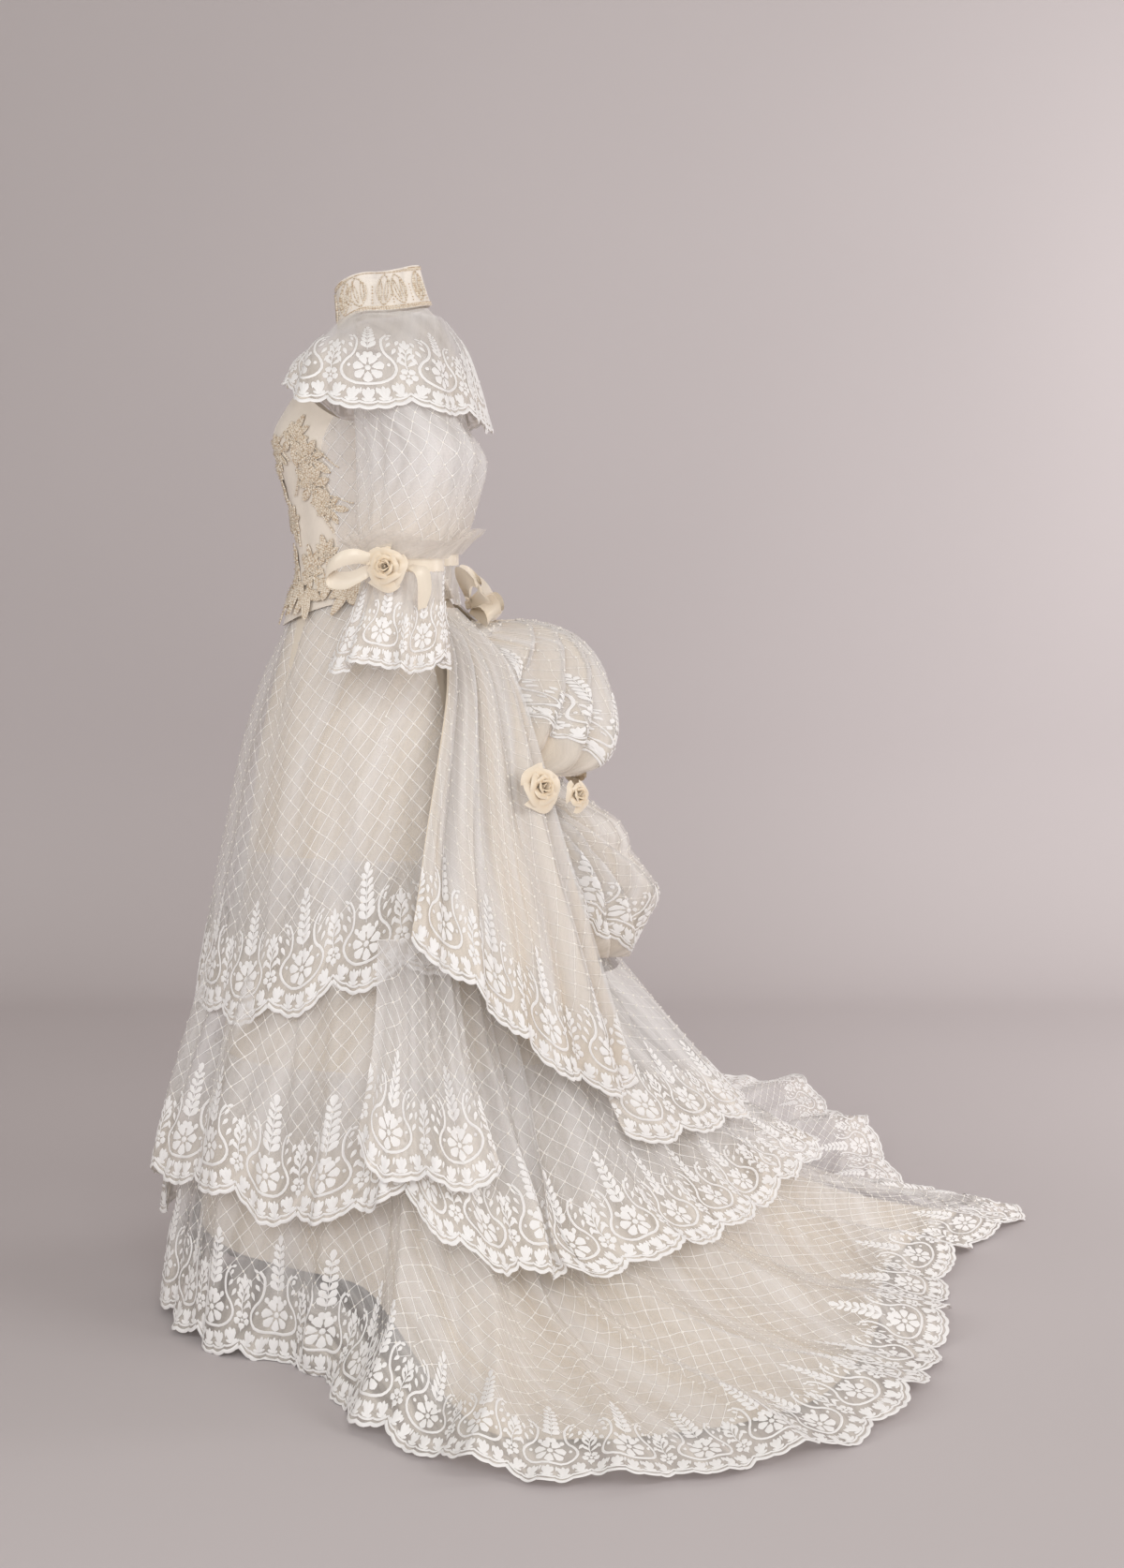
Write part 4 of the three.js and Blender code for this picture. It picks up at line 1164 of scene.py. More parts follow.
def net_on(cloth, gores, squares, foot):
    """The embroidered threads and the pearls of a piece of net, from foot metres above its hem."""
    high, wide = cloth.points.shape[:2]
    all_columns, all_rows = np.meshgrid(np.arange(wide, dtype=float), np.arange(high, dtype=float))
    reach = max(4, wide // (9 * gores))
    run, rise = evened(cloth.run, reach), evened(cloth.plain_rise, reach)
    lines, knots = [], []
    stops = np.linspace(0, wide - 1, gores + 1).astype(int)
    for first, last in zip(stops, stops[1:]):
        part = slice(first, last + 1)
        columns, rows = all_columns[:, part], all_rows[:, part]
        a, b = net_fields(run[:, part], rise[:, part], squares)
        lines += [threads_in(a, columns, rows), threads_in(b, columns, rows)]
        knots.append(crossings(a, b, columns, rows))
    ends, knots = np.concatenate(lines), np.concatenate(knots)
    ends = ends[between(cloth.plain_rise, ends[:, 0, 0], ends[:, 0, 1]) > foot]
    knots = knots[between(cloth.plain_rise, knots[:, 0], knots[:, 1]) > foot]
    return thread_faces(cloth, ends, sizes().thread * (0.5 if squares else 1.0)), pearl_faces(cloth, knots)


def thread_faces(cloth, ends, width):
    """A flat strip for each short line of the net, a little longer than the line."""
    on, out = cloth.sample(ends[..., 0], ends[..., 1])
    on = on + out * 0.35 * MM
    aside = unit(np.cross(on[:, 1] - on[:, 0], out[:, 0])) * width / 2
    ahead = unit(on[:, 1] - on[:, 0]) * 0.2 * MM
    a, b = on[:, 0] - ahead, on[:, 1] + ahead
    points = np.stack([a - aside, b - aside, b + aside, a + aside], axis=1).reshape(-1, 3)
    first = 4 * np.arange(len(ends))[:, None]
    return points, np.concatenate([first + [0, 1, 2], first + [0, 2, 3]]), points[:, :2]


def pearl_faces(cloth, places):
    """Half balls sewn down at the crossings."""
    on, out = cloth.sample(places[:, 0], places[:, 1])
    side = unit(np.cross(out, [0.31, 0.17, 0.93]))
    over = np.cross(out, side)
    radius, around = sizes().pearl, 6
    angles = [2 * math.pi * i / around for i in range(around)]
    rim = [on + radius * (math.cos(a) * side + math.sin(a) * over) + out * 0.2 * MM for a in angles]
    points = np.stack([*rim, on + out * radius * 1.15], axis=1).reshape(-1, 3)
    first = (around + 1) * np.arange(len(places))[:, None]
    faces = np.concatenate([first + [i, (i + 1) % around, around] for i in range(around)])
    return points, faces, points[:, :2]


def embroider(name, cloth, lace=None, gores=1, squares=False, net=True):
    """Sews the net's threads and pearls and the lace border to a piece, as pieces that ride with it."""
    made = []
    parts = [] if lace is None else [lace]
    if net:
        # The border is worked on plain net, so the threads start above its flowers.
        threads, pearls = net_on(cloth, gores, squares, 0.0 if lace is None else BORDER_HEIGHT)
        parts.append(threads)
        made.append(set_piece(name + "_pearls", pearls, glass_pearl()))
    points, faces, cut = joined(parts)
    points[:, 2] = np.maximum(points[:, 2], (LOWEST_LACE - SHOULDER_HEIGHT) * MM)
    made.append(set_piece(name + "_lace", (points, faces, cut), rayon_embroidery()))
    return made


def set_lace(name, nodes, cloth, fabric, held, lace=None, slot="lace", rests_on=(), **sewn):
    """Makes a piece of net with what is embroidered on it."""
    extra = embroider(name, cloth, lace, **sewn)
    return set_cloth(name, cloth, fabric(), nodes)


# ---------------------------------------------------------------- skirt pieces
def on_floor(station):
    """From 0 at the front to 1 where the hem lies on the floor."""
    return ease(4, 8, station)


LINING_HEM = {
    "left": [(0, 6.9), (4, 7.1), (7, 8.5), (12, 8.6), (16, 8.3)],
    "right": [(0, 6.9), (4, 7.1), (7, 7.6), (12, 7.7), (16, 8.3)],
}
TIER_FRONT_HEM = {
    "left": [(0, 6.25), (1, 6.15), (2.2, 6.05), (3.2, 6.3), (4.2, 6.2), (5.4, 6.0)],
    "right": [(0, 6.3), (0.4, 7.1), (1.5, 7.0), (2.3, 6.2), (5.4, 6.1)],
}
TIER_BACK_HEM = {"left": [(5.4, 6.05), (6.2, 6.5), (7, 6.75), (9, 6.95), (13, 7.05), (16, 6.85)]}
PANEL_HEM = {"left": [(4.6, 5.55), (5.2, 5.85), (6.3, 6.0), (7.2, 5.95)]}
APRON_HEM = {"left": [(0, 4.6), (1, 4.45), (2, 4.5), (3, 4.35), (3.8, 4.1), (5.2, 3.9)]}

# Stations at which seams and edges run down.
LINING_SEAM, TRAIN_SEAM, TIER_SEAM, APRON_EDGE = 4, 3.4, 5.4, 8.2
PANEL_EDGES = 4.6, 7.2


# Folds given one by one: where they start and end across and down a piece, how wide they are
# there, and how far they stand out (or in, below 0) in millimetres.
TRAIN_FOLDS = table(
    FOLD,
    (0.04, 0.03, 0.1, 1.0, 0.014, 1.5, 22),
    (0.1, 0.085, 0.05, 0.85, 0.012, 1.6, -16),
    (0.15, 0.14, 0.15, 1.1, 0.015, 1.4, 23),
    (0.22, 0.2, 0.1, 0.9, 0.013, 1.6, -16),
    (0.28, 0.265, 0.1, 1.1, 0.014, 1.6, 22),
    (0.33, 0.325, 0.2, 0.8, 0.012, 1.4, -14),
    (0.39, 0.385, 0.1, 1.1, 0.016, 1.5, 24),
    (0.45, 0.45, 0.1, 0.9, 0.013, 1.6, -16),
    (0.5, 0.51, 0.2, 1.1, 0.014, 1.5, 20),
    (0.56, 0.57, 0.1, 0.75, 0.012, 1.6, -14),
    (0.61, 0.63, 0.1, 1.1, 0.015, 1.5, 23),
    (0.67, 0.69, 0.15, 0.95, 0.013, 1.4, -15),
    (0.72, 0.75, 0.1, 1.1, 0.014, 1.6, 19),
    (0.79, 0.81, 0.2, 0.8, 0.013, 1.6, -14),
    (0.85, 0.87, 0.1, 1.1, 0.015, 1.5, 20),
    (0.93, 0.94, 0.1, 1.0, 0.014, 1.5, 16),
)
TRAIN_FRONT_FOLDS = table(
    FOLD,
    (0.08, 0.06, 0.0, 1.1, 0.026, 1.5, 14),
    (0.2, 0.18, 0.1, 0.9, 0.022, 1.6, -13),
    (0.31, 0.3, 0.0, 1.1, 0.026, 1.4, 15),
    (0.43, 0.42, 0.2, 0.9, 0.02, 1.6, -12),
    (0.54, 0.56, 0.0, 1.1, 0.026, 1.5, 14),
    (0.67, 0.69, 0.1, 0.95, 0.022, 1.5, -13),
    (0.79, 0.81, 0.0, 1.1, 0.026, 1.5, 15),
    (0.92, 0.94, 0.1, 1.1, 0.022, 1.5, -10),
)
TIER_FRONT_FOLDS = table(
    FOLD,
    (0.04, 0.03, 0.3, 1.1, 0.012, 1.8, 18),
    (0.1, 0.09, 0.25, 0.95, 0.01, 1.9, -16),
    (0.17, 0.15, 0.3, 1.1, 0.012, 1.9, 20),
    (0.23, 0.22, 0.3, 0.9, 0.01, 1.8, -14),
    (0.3, 0.29, 0.3, 1.1, 0.013, 1.9, 20),
    (0.37, 0.36, 0.35, 0.95, 0.01, 1.8, -16),
    (0.44, 0.43, 0.3, 1.1, 0.012, 1.8, 17),
    (0.5, 0.505, 0.3, 0.85, 0.01, 1.8, -14),
    (0.56, 0.57, 0.3, 1.1, 0.012, 1.8, 20),
    (0.63, 0.645, 0.3, 0.95, 0.01, 1.9, -16),
    (0.7, 0.715, 0.35, 1.1, 0.012, 1.9, 18),
    (0.77, 0.785, 0.3, 0.9, 0.01, 1.8, -14),
    (0.84, 0.86, 0.3, 1.1, 0.013, 1.8, 20),
    (0.91, 0.92, 0.3, 0.95, 0.01, 1.8, -16),
    (0.96, 0.97, 0.3, 1.1, 0.01, 1.8, 16),
)
TIER_BACK_FOLDS = table(
    FOLD,
    (0.06, 0.04, 0.2, 1.1, 0.016, 1.7, 13),
    (0.16, 0.13, 0.2, 0.9, 0.014, 1.7, -14),
    (0.26, 0.23, 0.25, 1.1, 0.016, 1.8, 15),
    (0.36, 0.33, 0.2, 0.9, 0.014, 1.7, -14),
    (0.45, 0.43, 0.2, 1.1, 0.016, 1.8, 14),
    (0.54, 0.53, 0.25, 0.85, 0.014, 1.7, -13),
    (0.63, 0.63, 0.2, 1.1, 0.016, 1.8, 15),
    (0.72, 0.73, 0.2, 0.9, 0.014, 1.7, -13),
    (0.81, 0.83, 0.25, 1.1, 0.016, 1.8, 14),
    (0.91, 0.93, 0.2, 0.9, 0.014, 1.7, -12),
)
PANEL_FOLDS = table(
    FOLD,
    (0.14, 0.1, 0.1, 1.1, 0.04, 1.5, 9),
    (0.33, 0.3, 0.1, 0.9, 0.035, 1.5, -10),
    (0.52, 0.52, 0.1, 1.1, 0.04, 1.5, 10),
    (0.7, 0.73, 0.1, 0.85, 0.035, 1.5, -9),
    (0.88, 0.91, 0.1, 1.1, 0.035, 1.5, 8),
)


class GOWN_OT_lining(bpy.types.Operator):
    """Make the satin underskirt in three gores"""

    bl_idname = "gown.lining"
    bl_label = "Satin lining"

    def execute(self, context):
        edge = station_turn(LINING_SEAM, LEFT)
        lift, depth = rising(0, -4, 2, 4), rising(0, 2.2, 2, 6)
        for word, start, end in (("front", -edge, edge), ("left", edge, 0.5), ("right", 0.5, 1 - edge)):
            cloth = skirt_cloth(64, 54, start, end, [(0, 0)], LINING_HEM, lift, depth, 17, 0.8)
            set_cloth("satin_lining_" + word, cloth, duchess_satin(), ["lining_" + word])
        return {"FINISHED"}


def train_lift(level, station):
    """How far the train stands off the skirt's surface, less where it lies on the floor."""
    hanging = mix(4, 14, ease(5, 6.2, level))
    lying = mix(8, 1 - FLOOR_LIFT, ease(8.4, HEM_LEVEL, level))
    return mix(hanging, lying, on_floor(station) * ease(5, 8, level))


def train_depth(level, station):
    """How deep the train's ripples are."""
    return mix(24, 20, on_floor(station)) * ease(5, HEM_LEVEL, level) ** 0.8


class GOWN_OT_train(bpy.types.Operator):
    """Make the lowest lace skirt, which runs out into the train"""

    bl_idname = "gown.train"
    bl_label = "Train"

    def execute(self, context):
        edge = station_turn(TRAIN_SEAM, LEFT)
        hem = {"left": [(0, HEM_LEVEL)]}
        pieces = (
            ("front", -edge, edge, 130, 2, TRAIN_FRONT_FOLDS),
            ("left", edge, 0.5, 360, 6, TRAIN_FOLDS),
            ("right", 0.5, 1 - edge, 400, 7, TRAIN_FOLDS),
        )
        for word, start, end, columns, gores, folds in pieces:
            cloth = skirt_cloth(columns, 62, start, end, [(0, 5)], hem, train_lift, train_depth, 30, 1.7, folds)
            cloth.scallop()
            name, nodes, under = "lace_train_" + word, ["train_" + word], ["satin_lining_" + word]
            set_lace(name, nodes, cloth, bobbin_net, "gathered", border_on(cloth), rests_on=under, gores=gores)
        return {"FINISHED"}


def tier_back_lift(level, station):
    """How far the back of the second tier stands off, a little more towards its middle."""
    return mix(4, mix(46, 50, ease(8, 14, station)), ease(3.2, 6.6, level))


class GOWN_OT_second_tier(bpy.types.Operator):
    """Make the second lace tier: front, side panels and the two back halves"""

    bl_idname = "gown.second_tier"
    bl_label = "Second tier"

    def execute(self, context):
        edge = station_turn(TIER_SEAM, LEFT)
        # For each word that ends a piece's name, its gores and what shapes its cloth.
        pieces = {
            "front": (
                3, 210, 40, -edge, edge, [(0, 3)], TIER_FRONT_HEM,
                rising(4, 48, 3, 6.2), rising(0, 24, 3, 6.4), 34, 0.4, TIER_FRONT_FOLDS,
            )
        }
        for word, side in SIDES:
            ends = sorted((station_turn(TIER_SEAM, side), 0.5))
            pieces["back_" + word] = (
                3, 170, 50, *ends, [(0, 3)], TIER_BACK_HEM,
                tier_back_lift, rising(0, 22, 3, 6.6), 30, 2.9, TIER_BACK_FOLDS,
            )
            ends = sorted(station_turn(station, side) for station in PANEL_EDGES)
            pieces["side_" + word] = (
                1, 56, 40, *ends, [(0, 3.7)], PANEL_HEM,
                rising(44, 76, 3.7, 5.6), rising(0, 16, 3.2, 5.8), 34, 5.1, PANEL_FOLDS,
            )
        for word, (gores, *shape) in pieces.items():
            cloth = skirt_cloth(*shape)
            cloth.scallop()
            lace = border_on(cloth)
            set_lace("lace_tier_" + word, ["tier2_" + word], cloth, bobbin_net, "gathered", lace, gores=gores)
        return {"FINISHED"}


APRON_FOLDS = table(
    FOLD,
    (0.18, 0.12, 0.0, 0.9, 0.018, 1.8, -8),
    (0.29, 0.25, 0.1, 1.1, 0.014, 2.0, 8),
    (0.41, 0.4, 0.0, 0.8, 0.016, 1.6, -6),
    (0.5, 0.52, 0.2, 1.1, 0.014, 2.0, 8),
    (0.6, 0.63, 0.0, 0.9, 0.018, 1.8, -8),
    (0.72, 0.77, 0.1, 1.1, 0.016, 1.8, 8),
    (0.82, 0.88, 0.0, 1.1, 0.014, 1.6, -8),
)


class GOWN_OT_apron(bpy.types.Operator):
    """Make the lace apron over the front of the skirt"""

    bl_idname = "gown.apron"
    bl_label = "Apron"

    def execute(self, context):
        edge = station_turn(APRON_EDGE, LEFT)
        lift, depth = rising(3, 32, 0, 4.6), rising(0, 9, 0, 4.4)
        cloth = skirt_cloth(200, 50, -edge, edge, [(0, 0.04)], APRON_HEM, lift, depth, 40, 3.3, APRON_FOLDS)
        cloth.scallop()
        set_lace("lace_apron", ["apron"], cloth, bobbin_net, "gathered", border_on(cloth), gores=5)
        return {"FINISHED"}


# ---------------------------------------------------------------- drapes and puffs
HIP_FOLDS = table(
    FOLD,
    (0.08, 0.04, 0.0, 1.2, 0.03, 1.2, 9),
    (0.2, 0.15, 0.0, 0.8, 0.025, 1.6, -12),
    (0.33, 0.27, 0.0, 1.2, 0.035, 1.8, 12),
    (0.45, 0.42, 0.02, 0.7, 0.025, 1.8, -12),
    (0.56, 0.56, 0.0, 0.95, 0.03, 2.0, 9),
    (0.68, 0.72, 0.0, 0.6, 0.022, 1.8, -11),
    (0.8, 0.86, 0.0, 1.2, 0.03, 1.6, 12),
    (0.92, 0.96, 0.05, 1.0, 0.025, 1.4, -9),
)
DRAPE_FOLDS = table(
    FOLD,
    (0.1, 0.08, 0.0, 1.2, 0.03, 1.4, 8),
    (0.24, 0.2, 0.0, 0.8, 0.025, 1.6, -8),
    (0.4, 0.37, 0.1, 1.2, 0.03, 1.6, 8),
    (0.55, 0.56, 0.0, 0.9, 0.025, 1.8, -8),
    (0.7, 0.74, 0.0, 1.2, 0.03, 1.6, 8),
    (0.87, 0.9, 0.0, 1.0, 0.025, 1.4, -7),
)


# Folds that spread from a knot: where each lies and how wide it is in degrees, its depth in
# millimetres, and how far from the knot it starts and ends.
UPPER_RAYS = table(
    RAY,
    (0, 3.0, 13, 0.1, 1.3),
    (8, 2.4, -18, 0.06, 1.1),
    (16, 3.2, 15, 0.12, 1.4),
    (24, 2.2, -20, 0.08, 1.2),
    (31, 2.8, 14, 0.1, 1.5),
    (38, 2.2, -18, 0.12, 1.3),
    (45, 3.0, 15, 0.08, 1.6),
    (52, 2.2, -20, 0.1, 1.2),
    (60, 3.2, 14, 0.12, 1.6),
    (68, 2.4, -15, 0.08, 1.3),
    (77, 3.0, 11, 0.1, 1.5),
)
LOWER_RAYS = table(
    RAY,
    (6, 2.6, -12, 0.1, 1.2),
    (14, 3.2, 14, 0.12, 1.4),
    (21, 2.2, -19, 0.08, 1.3),
    (29, 3.4, 15, 0.1, 1.6),
    (37, 2.4, -19, 0.1, 1.2),
    (45, 3.2, 16, 0.12, 1.6),
    (53, 2.2, -18, 0.08, 1.3),
    (61, 3.0, 14, 0.1, 1.5),
    (69, 2.4, -18, 0.1, 1.3),
    (78, 3.2, 12, 0.12, 1.5),
)


def fan(rays, across, down):
    """Folds that spread out from a knot at across 0, down 0."""
    angle = np.degrees(np.arctan2(across, down))
    out = np.hypot(across, down)
    total = np.zeros(np.shape(out))
    for ray in each_row(rays):
        reach = ease(ray["near"], ray["near"] + 0.3, out) * (1 - ease(ray["far"] - 0.35, ray["far"], out))
        total = total + ray["deep"] * reach * np.exp(-(((angle - ray["at"]) / ray["wide"]) ** 2))
    return total


def upper_fan(u, v):
    """From the bow at the middle of the top."""
    return fan(UPPER_RAYS, 1.7 * np.abs(u - 0.5), v)


def lower_fan(u, v):
    """From the roses at both ends of the top."""
    return fan(LOWER_RAYS, np.sin(np.pi * u), v)


def drape_folds(u, v):
    return creases(DRAPE_FOLDS, u, v)


def upper_border(share):
    """How far the lace lies above the puff's lower edge, in metres: it rises to the roses."""
    return 0.016 + 0.12 * np.abs(2 * share - 1) ** 1.3


def lower_border(share):
    """The same for the lower puff."""
    return 0.03 + 0.05 * np.abs(2 * share - 1) ** 2


def polar(angle, radius, z):
    """Points round the gown's axis, in millimetres."""
    return np.stack([radius * np.cos(np.radians(angle)), radius * np.sin(np.radians(angle)), z], axis=-1)


def hip_drape_cloth(side, inset=0.0):
    """The drape over one hip, or the satin that lies inset under it."""
    u, v = grid(80, 64)
    across = u if side == LEFT else 1 - u
    at = columns_at(HIP_DRAPE, v)
    fold = at["fold"] * ripple(across, 5, 1.1) + creases(HIP_FOLDS, across, v) * ease(0, 0.12, v) - inset
    sag = 22 * np.sin(np.pi * across) * v
    z = mix(at["frontZ"], at["backZ"], ease(0, 1, across)) - sag
    p = polar(mix(at["frontAngle"], at["backAngle"], across), mix(at["front"], at["back"], across) + fold, z)
    p[..., 0] *= side
    return Cloth(to_frame(*swept(p)))


def back_cloth(rows_table, columns, rows, count, seed, laid, gather=1.0, inset=0.0):
    """A puff or drape from the left edge round the back to the right edge."""
    u, v = grid(columns, rows)
    at = columns_at(rows_table, v)
    bow = np.sin(np.pi * u) ** gather
    calm = np.minimum(1, 4 * np.sin(np.pi * u))
    fold = (0.5 * at["fold"] * (1 + ripple(u, count, seed)) + laid(u, v)) * calm - inset
    radius = mix(at["edgeR"], at["midR"], bow) + fold
    p = polar(mix(at["edge"], 180 - at["edge"], u), radius, mix(at["edgeZ"], at["midZ"], bow))
    return Cloth(to_frame(*swept(p)))


class GOWN_OT_hip_drapes(bpy.types.Operator):
    """Make the lace drapes over both hips"""

    bl_idname = "gown.hip_drapes"
    bl_label = "Side drapes"

    def execute(self, context):
        for word, side in SIDES:
            under, satin = hip_drape_cloth(side, UNDER_DRAPE), "satin_side_drape_" + word
            set_cloth(satin, under, duchess_satin(), ())
            cloth = hip_drape_cloth(side)
            cloth.scallop()
            name, nodes = "lace_side_drape_" + word, ["hip_drape_" + word]
            set_lace(name, nodes, cloth, double_net, "draped", border_on(cloth), rests_on=[satin], squares=True)
        return {"FINISHED"}


class GOWN_OT_bustle(bpy.types.Operator):
    """Make the two bustle puffs and the drape below them"""

    bl_idname = "gown.bustle"
    bl_label = "Bustle"

    def execute(self, context):
        puffs = (
            ("upper_puff", UPPER_PUFF, upper_fan, 0.9, 1.3, upper_border),
            ("lower_puff", LOWER_PUFF, lower_fan, 2.2, 1.0, lower_border),
        )
        for node, rows_table, laid, seed, gather, base in puffs:
            satin = "satin_" + node
            under = back_cloth(rows_table, 110, 52, 6, seed, laid, gather, UNDER_PUFF)
            set_cloth(satin, under, duchess_satin(), ())
            cloth = back_cloth(rows_table, 150, 70, 6, seed, laid, gather)
            lace = border_on(cloth, 0.008, 0.085, base, 0.75)
            set_lace("lace_" + node, [node], cloth, puff_net, "gathered", lace, rests_on=[satin], squares=True)
        cloth = back_cloth(BACK_DRAPE, 130, 46, 5, 3.1, drape_folds)
        cloth.scallop()
        set_lace("lace_back_drape", ["back_drape"], cloth, double_net, "draped", border_on(cloth), squares=True)
        return {"FINISHED"}


# ---------------------------------------------------------------- bodice, collar, bertha
def ring_cloth(rows_table, columns, rows, start, end, out=None, closed=False):
    """Cloth round the body between two turns; out moves it outwards, in millimetres."""
    u, v = grid(columns, rows)
    turn = mix(start, end, u)
    at = columns_at(rows_table, v)
    extra = out(turn, v) if out else 0.0
    sin, cos = np.sin(2 * np.pi * turn), np.cos(2 * np.pi * turn)
    reach = np.where(cos > 0, at["front"], at["back"]) + extra
    height = np.where(cos > 0, at["frontZ"], at["backZ"])
    x = (at["side"] + extra) * np.sign(sin) * np.abs(sin) ** at["square"]
    y = -reach * np.sign(cos) * np.abs(cos) ** at["square"]
    return Cloth(to_frame(x, y, mix(at["sideZ"], height, cos * cos)), closed)


def stitch_at(cloth, drawing, column_share, row_share, lean, lift=0.6 * MM, below=0.0):
    """Sews a drawing to the cloth round one place, turned by lean; it may hang below the cloth."""
    flat, faces = drawing
    high, wide = cloth.points.shape[:2]
    i, j = column_share * (wide - 1), row_share * (high - 1)
    near_i, near_j = int(np.clip(i, 1, wide - 2)), int(np.clip(j, 1, high - 2))
    step_across = np.linalg.norm(cloth.points[near_j, near_i + 1] - cloth.points[near_j, near_i - 1]) / 2
    step_down = np.linalg.norm(cloth.points[near_j + 1, near_i] - cloth.points[near_j - 1, near_i]) / 2
    x, y = flat[:, 0] * MM, flat[:, 1] * MM
    across = x * math.cos(lean) + y * math.sin(lean)
    up = y * math.cos(lean) - x * math.sin(lean)
    columns, rows = i + across / step_across, j - up / step_down
    inside = (columns >= 0) & (columns <= wide - 1) & (rows >= 0) & (rows <= high - 1 + below / step_down)
    on, out = cloth.sample(columns, rows)
    points = on + out * (flat[:, 2] * MM + lift)[:, None]
    return keep_faces(points, faces, flat[:, :2] * MM, inside)


def beaded_spray(size):
    """A raised spray: padded, beaded leaves round a small flower, and curling stems."""
    drawn = Stitching()
    for turn, length, width in SPRAY_LEAVES:
        drawn.leaf(*placed(0, 0, turn, 0, 8 * size), turn, length * size, width * size)
    for way in (-1, 1):
        curl = [(way * (10 + 20 * s) * size, (24 * math.sin(3 * s) - 12) * size) for s in np.linspace(0, 1.5, 10)]
        drawn.cord(curl, 2.2, 2.4)
    drawn.flower(0, 0, 9 * size, 6)
    return drawn.arrays()


def drooping_leaf(length):
    """A sprig of three beaded leaves that hangs point down over the skirt's waist."""
    drawn = Stitching()
    for turn, share in ((144, 0.74), (216, 0.68), (180, 1.0)):
        drawn.leaf(0, 14, turn, share * length, 14)
    return drawn.arrays()


def drag_lines(turn, v):
    """Faint lines where the satin is drawn to the waist."""
    return 0.9 * np.sin(2 * np.pi * 15 * turn + 2 * v) * np.sin(np.pi * v)


def beadwork_on(ground, reach):
    """The sprays and the hanging leaves on the front, from -reach to reach of a turn."""
    parts = []
    for way in (-1, 1):
        for spray in each_row(BEADED_SPRAYS):
            place = (way * spray["turn"] + reach) / (2 * reach)
            parts.append(stitch_at(ground, beaded_spray(spray["size"]), place, spray["down"], way * spray["lean"]))
    for k in range(15):
        leaf = drooping_leaf(46 + 12 * math.sin(2.1 * k))
        row = 0.9 - 0.03 * math.cos(2.9 * k)
        parts.append(stitch_at(ground, leaf, 0.03 + 0.94 * k / 14, row, 0.35 * math.sin(1.7 * k), 3.4 * MM, 0.04))
    return joined(parts)


class GOWN_OT_bodice(bpy.types.Operator):
    """Make the satin bodice with its beaded sprays and pointed waist"""

    bl_idname = "gown.bodice"
    bl_label = "Bodice"

    def execute(self, context):
        front, side = 0.185, 0.31  # turns at which its seams run down
        main = ring_cloth(BODICE, 90, 60, -front, front, drag_lines)
        # The beadwork is laid out on the whole front, so that it crosses the side seams.
        ground = ring_cloth(BODICE, 190, 90, -side, side, lambda turn, v: 1.4)
        beads = set_piece("bodice_beadwork", beadwork_on(ground, side), corded_beadwork())
        set_cloth("satin_bodice_front", main, bodice_satin(), ["bodice_front"])
        pieces = (
            ("side_left", front, side, 34),
            ("side_right", 1 - side, 1 - front, 34),
            ("back_left", side, 0.5, 46),
            ("back_right", 0.5, 1 - side, 46),
        )
        for word, start, end, columns in pieces:
            name, node = "satin_bodice_" + word, "bodice_" + word
            under = ring_cloth(BODICE, columns, 50, start, end, drag_lines)
            set_cloth(name, under, bodice_satin(), [node])
            over = ring_cloth(BODICE, columns, 50, start, end, lambda turn, v: drag_lines(turn, v) + 1.5)
            set_lace("bodice_net_" + word, (), over, bobbin_net, "stretched", slot="net", rests_on=[name])
        return {"FINISHED"}


def collar_drawing(length, high):
    """Cords along both edges of the collar, rows of beads and leaning loops between them."""
    drawn = Stitching()
    x = np.linspace(2, length - 2, 90)
    for at in (1.5, 5.5, high - 5, high - 1.5):
        drawn.cord(np.stack([x, np.full_like(x, at)], axis=1), 2.0, 2.0)
    for x in np.arange(4, length - 3, 3.4):
        drawn.bead(x, 3.4, 1.2, 6, 2.0)
        drawn.bead(x, high - 3.2, 1.2, 6, 2.0)
    for k, x in enumerate(np.arange(19, length - 14, 33)):
        lean = 9 if k % 2 else -12
        drawn.cord(loop_path(x, 8, lean, high - 15, 25), 2.2, 2.6)
        for way in (-1, 1):
            drawn.cord(loop_path(x + way * 3.6, 14, lean + 5 * way, high - 28, 5), 1.5, 2.0)
        for step in range(6):
            drawn.bead(x + 16.5, 11 + 4.6 * step, 1.5, 6, 2.4)
    return drawn.arrays()


class GOWN_OT_collar(bpy.types.Operator):
    """Make the beaded stand collar"""

    bl_idname = "gown.collar"
    bl_label = "Collar"

    def execute(self, context):
        def overlap(turn, v):
            return 6 * ease(1.44, 1.49, turn) * (1 - 0.6 * v)

        cloth = ring_cloth(COLLAR, 180, 18, 0.505, 1.495, overlap)
        flat, faces = collar_drawing(cloth.hem_length() / MM, cloth.rise[0].mean() / MM)
        columns, rows, inside = cloth.at_hem(flat[:, 0] * MM, flat[:, 1] * MM)
        on, out = cloth.sample(columns, rows)
        points = on + out * (flat[:, 2] * MM + LACE_PROUD)[:, None]
        made = keep_faces(points, faces, flat[:, :2] * MM, inside)
        beads = set_piece("collar_beadwork", made, corded_beadwork())
        set_cloth("net_collar", cloth, stiff_net(), ["collar"])
        return {"FINISHED"}


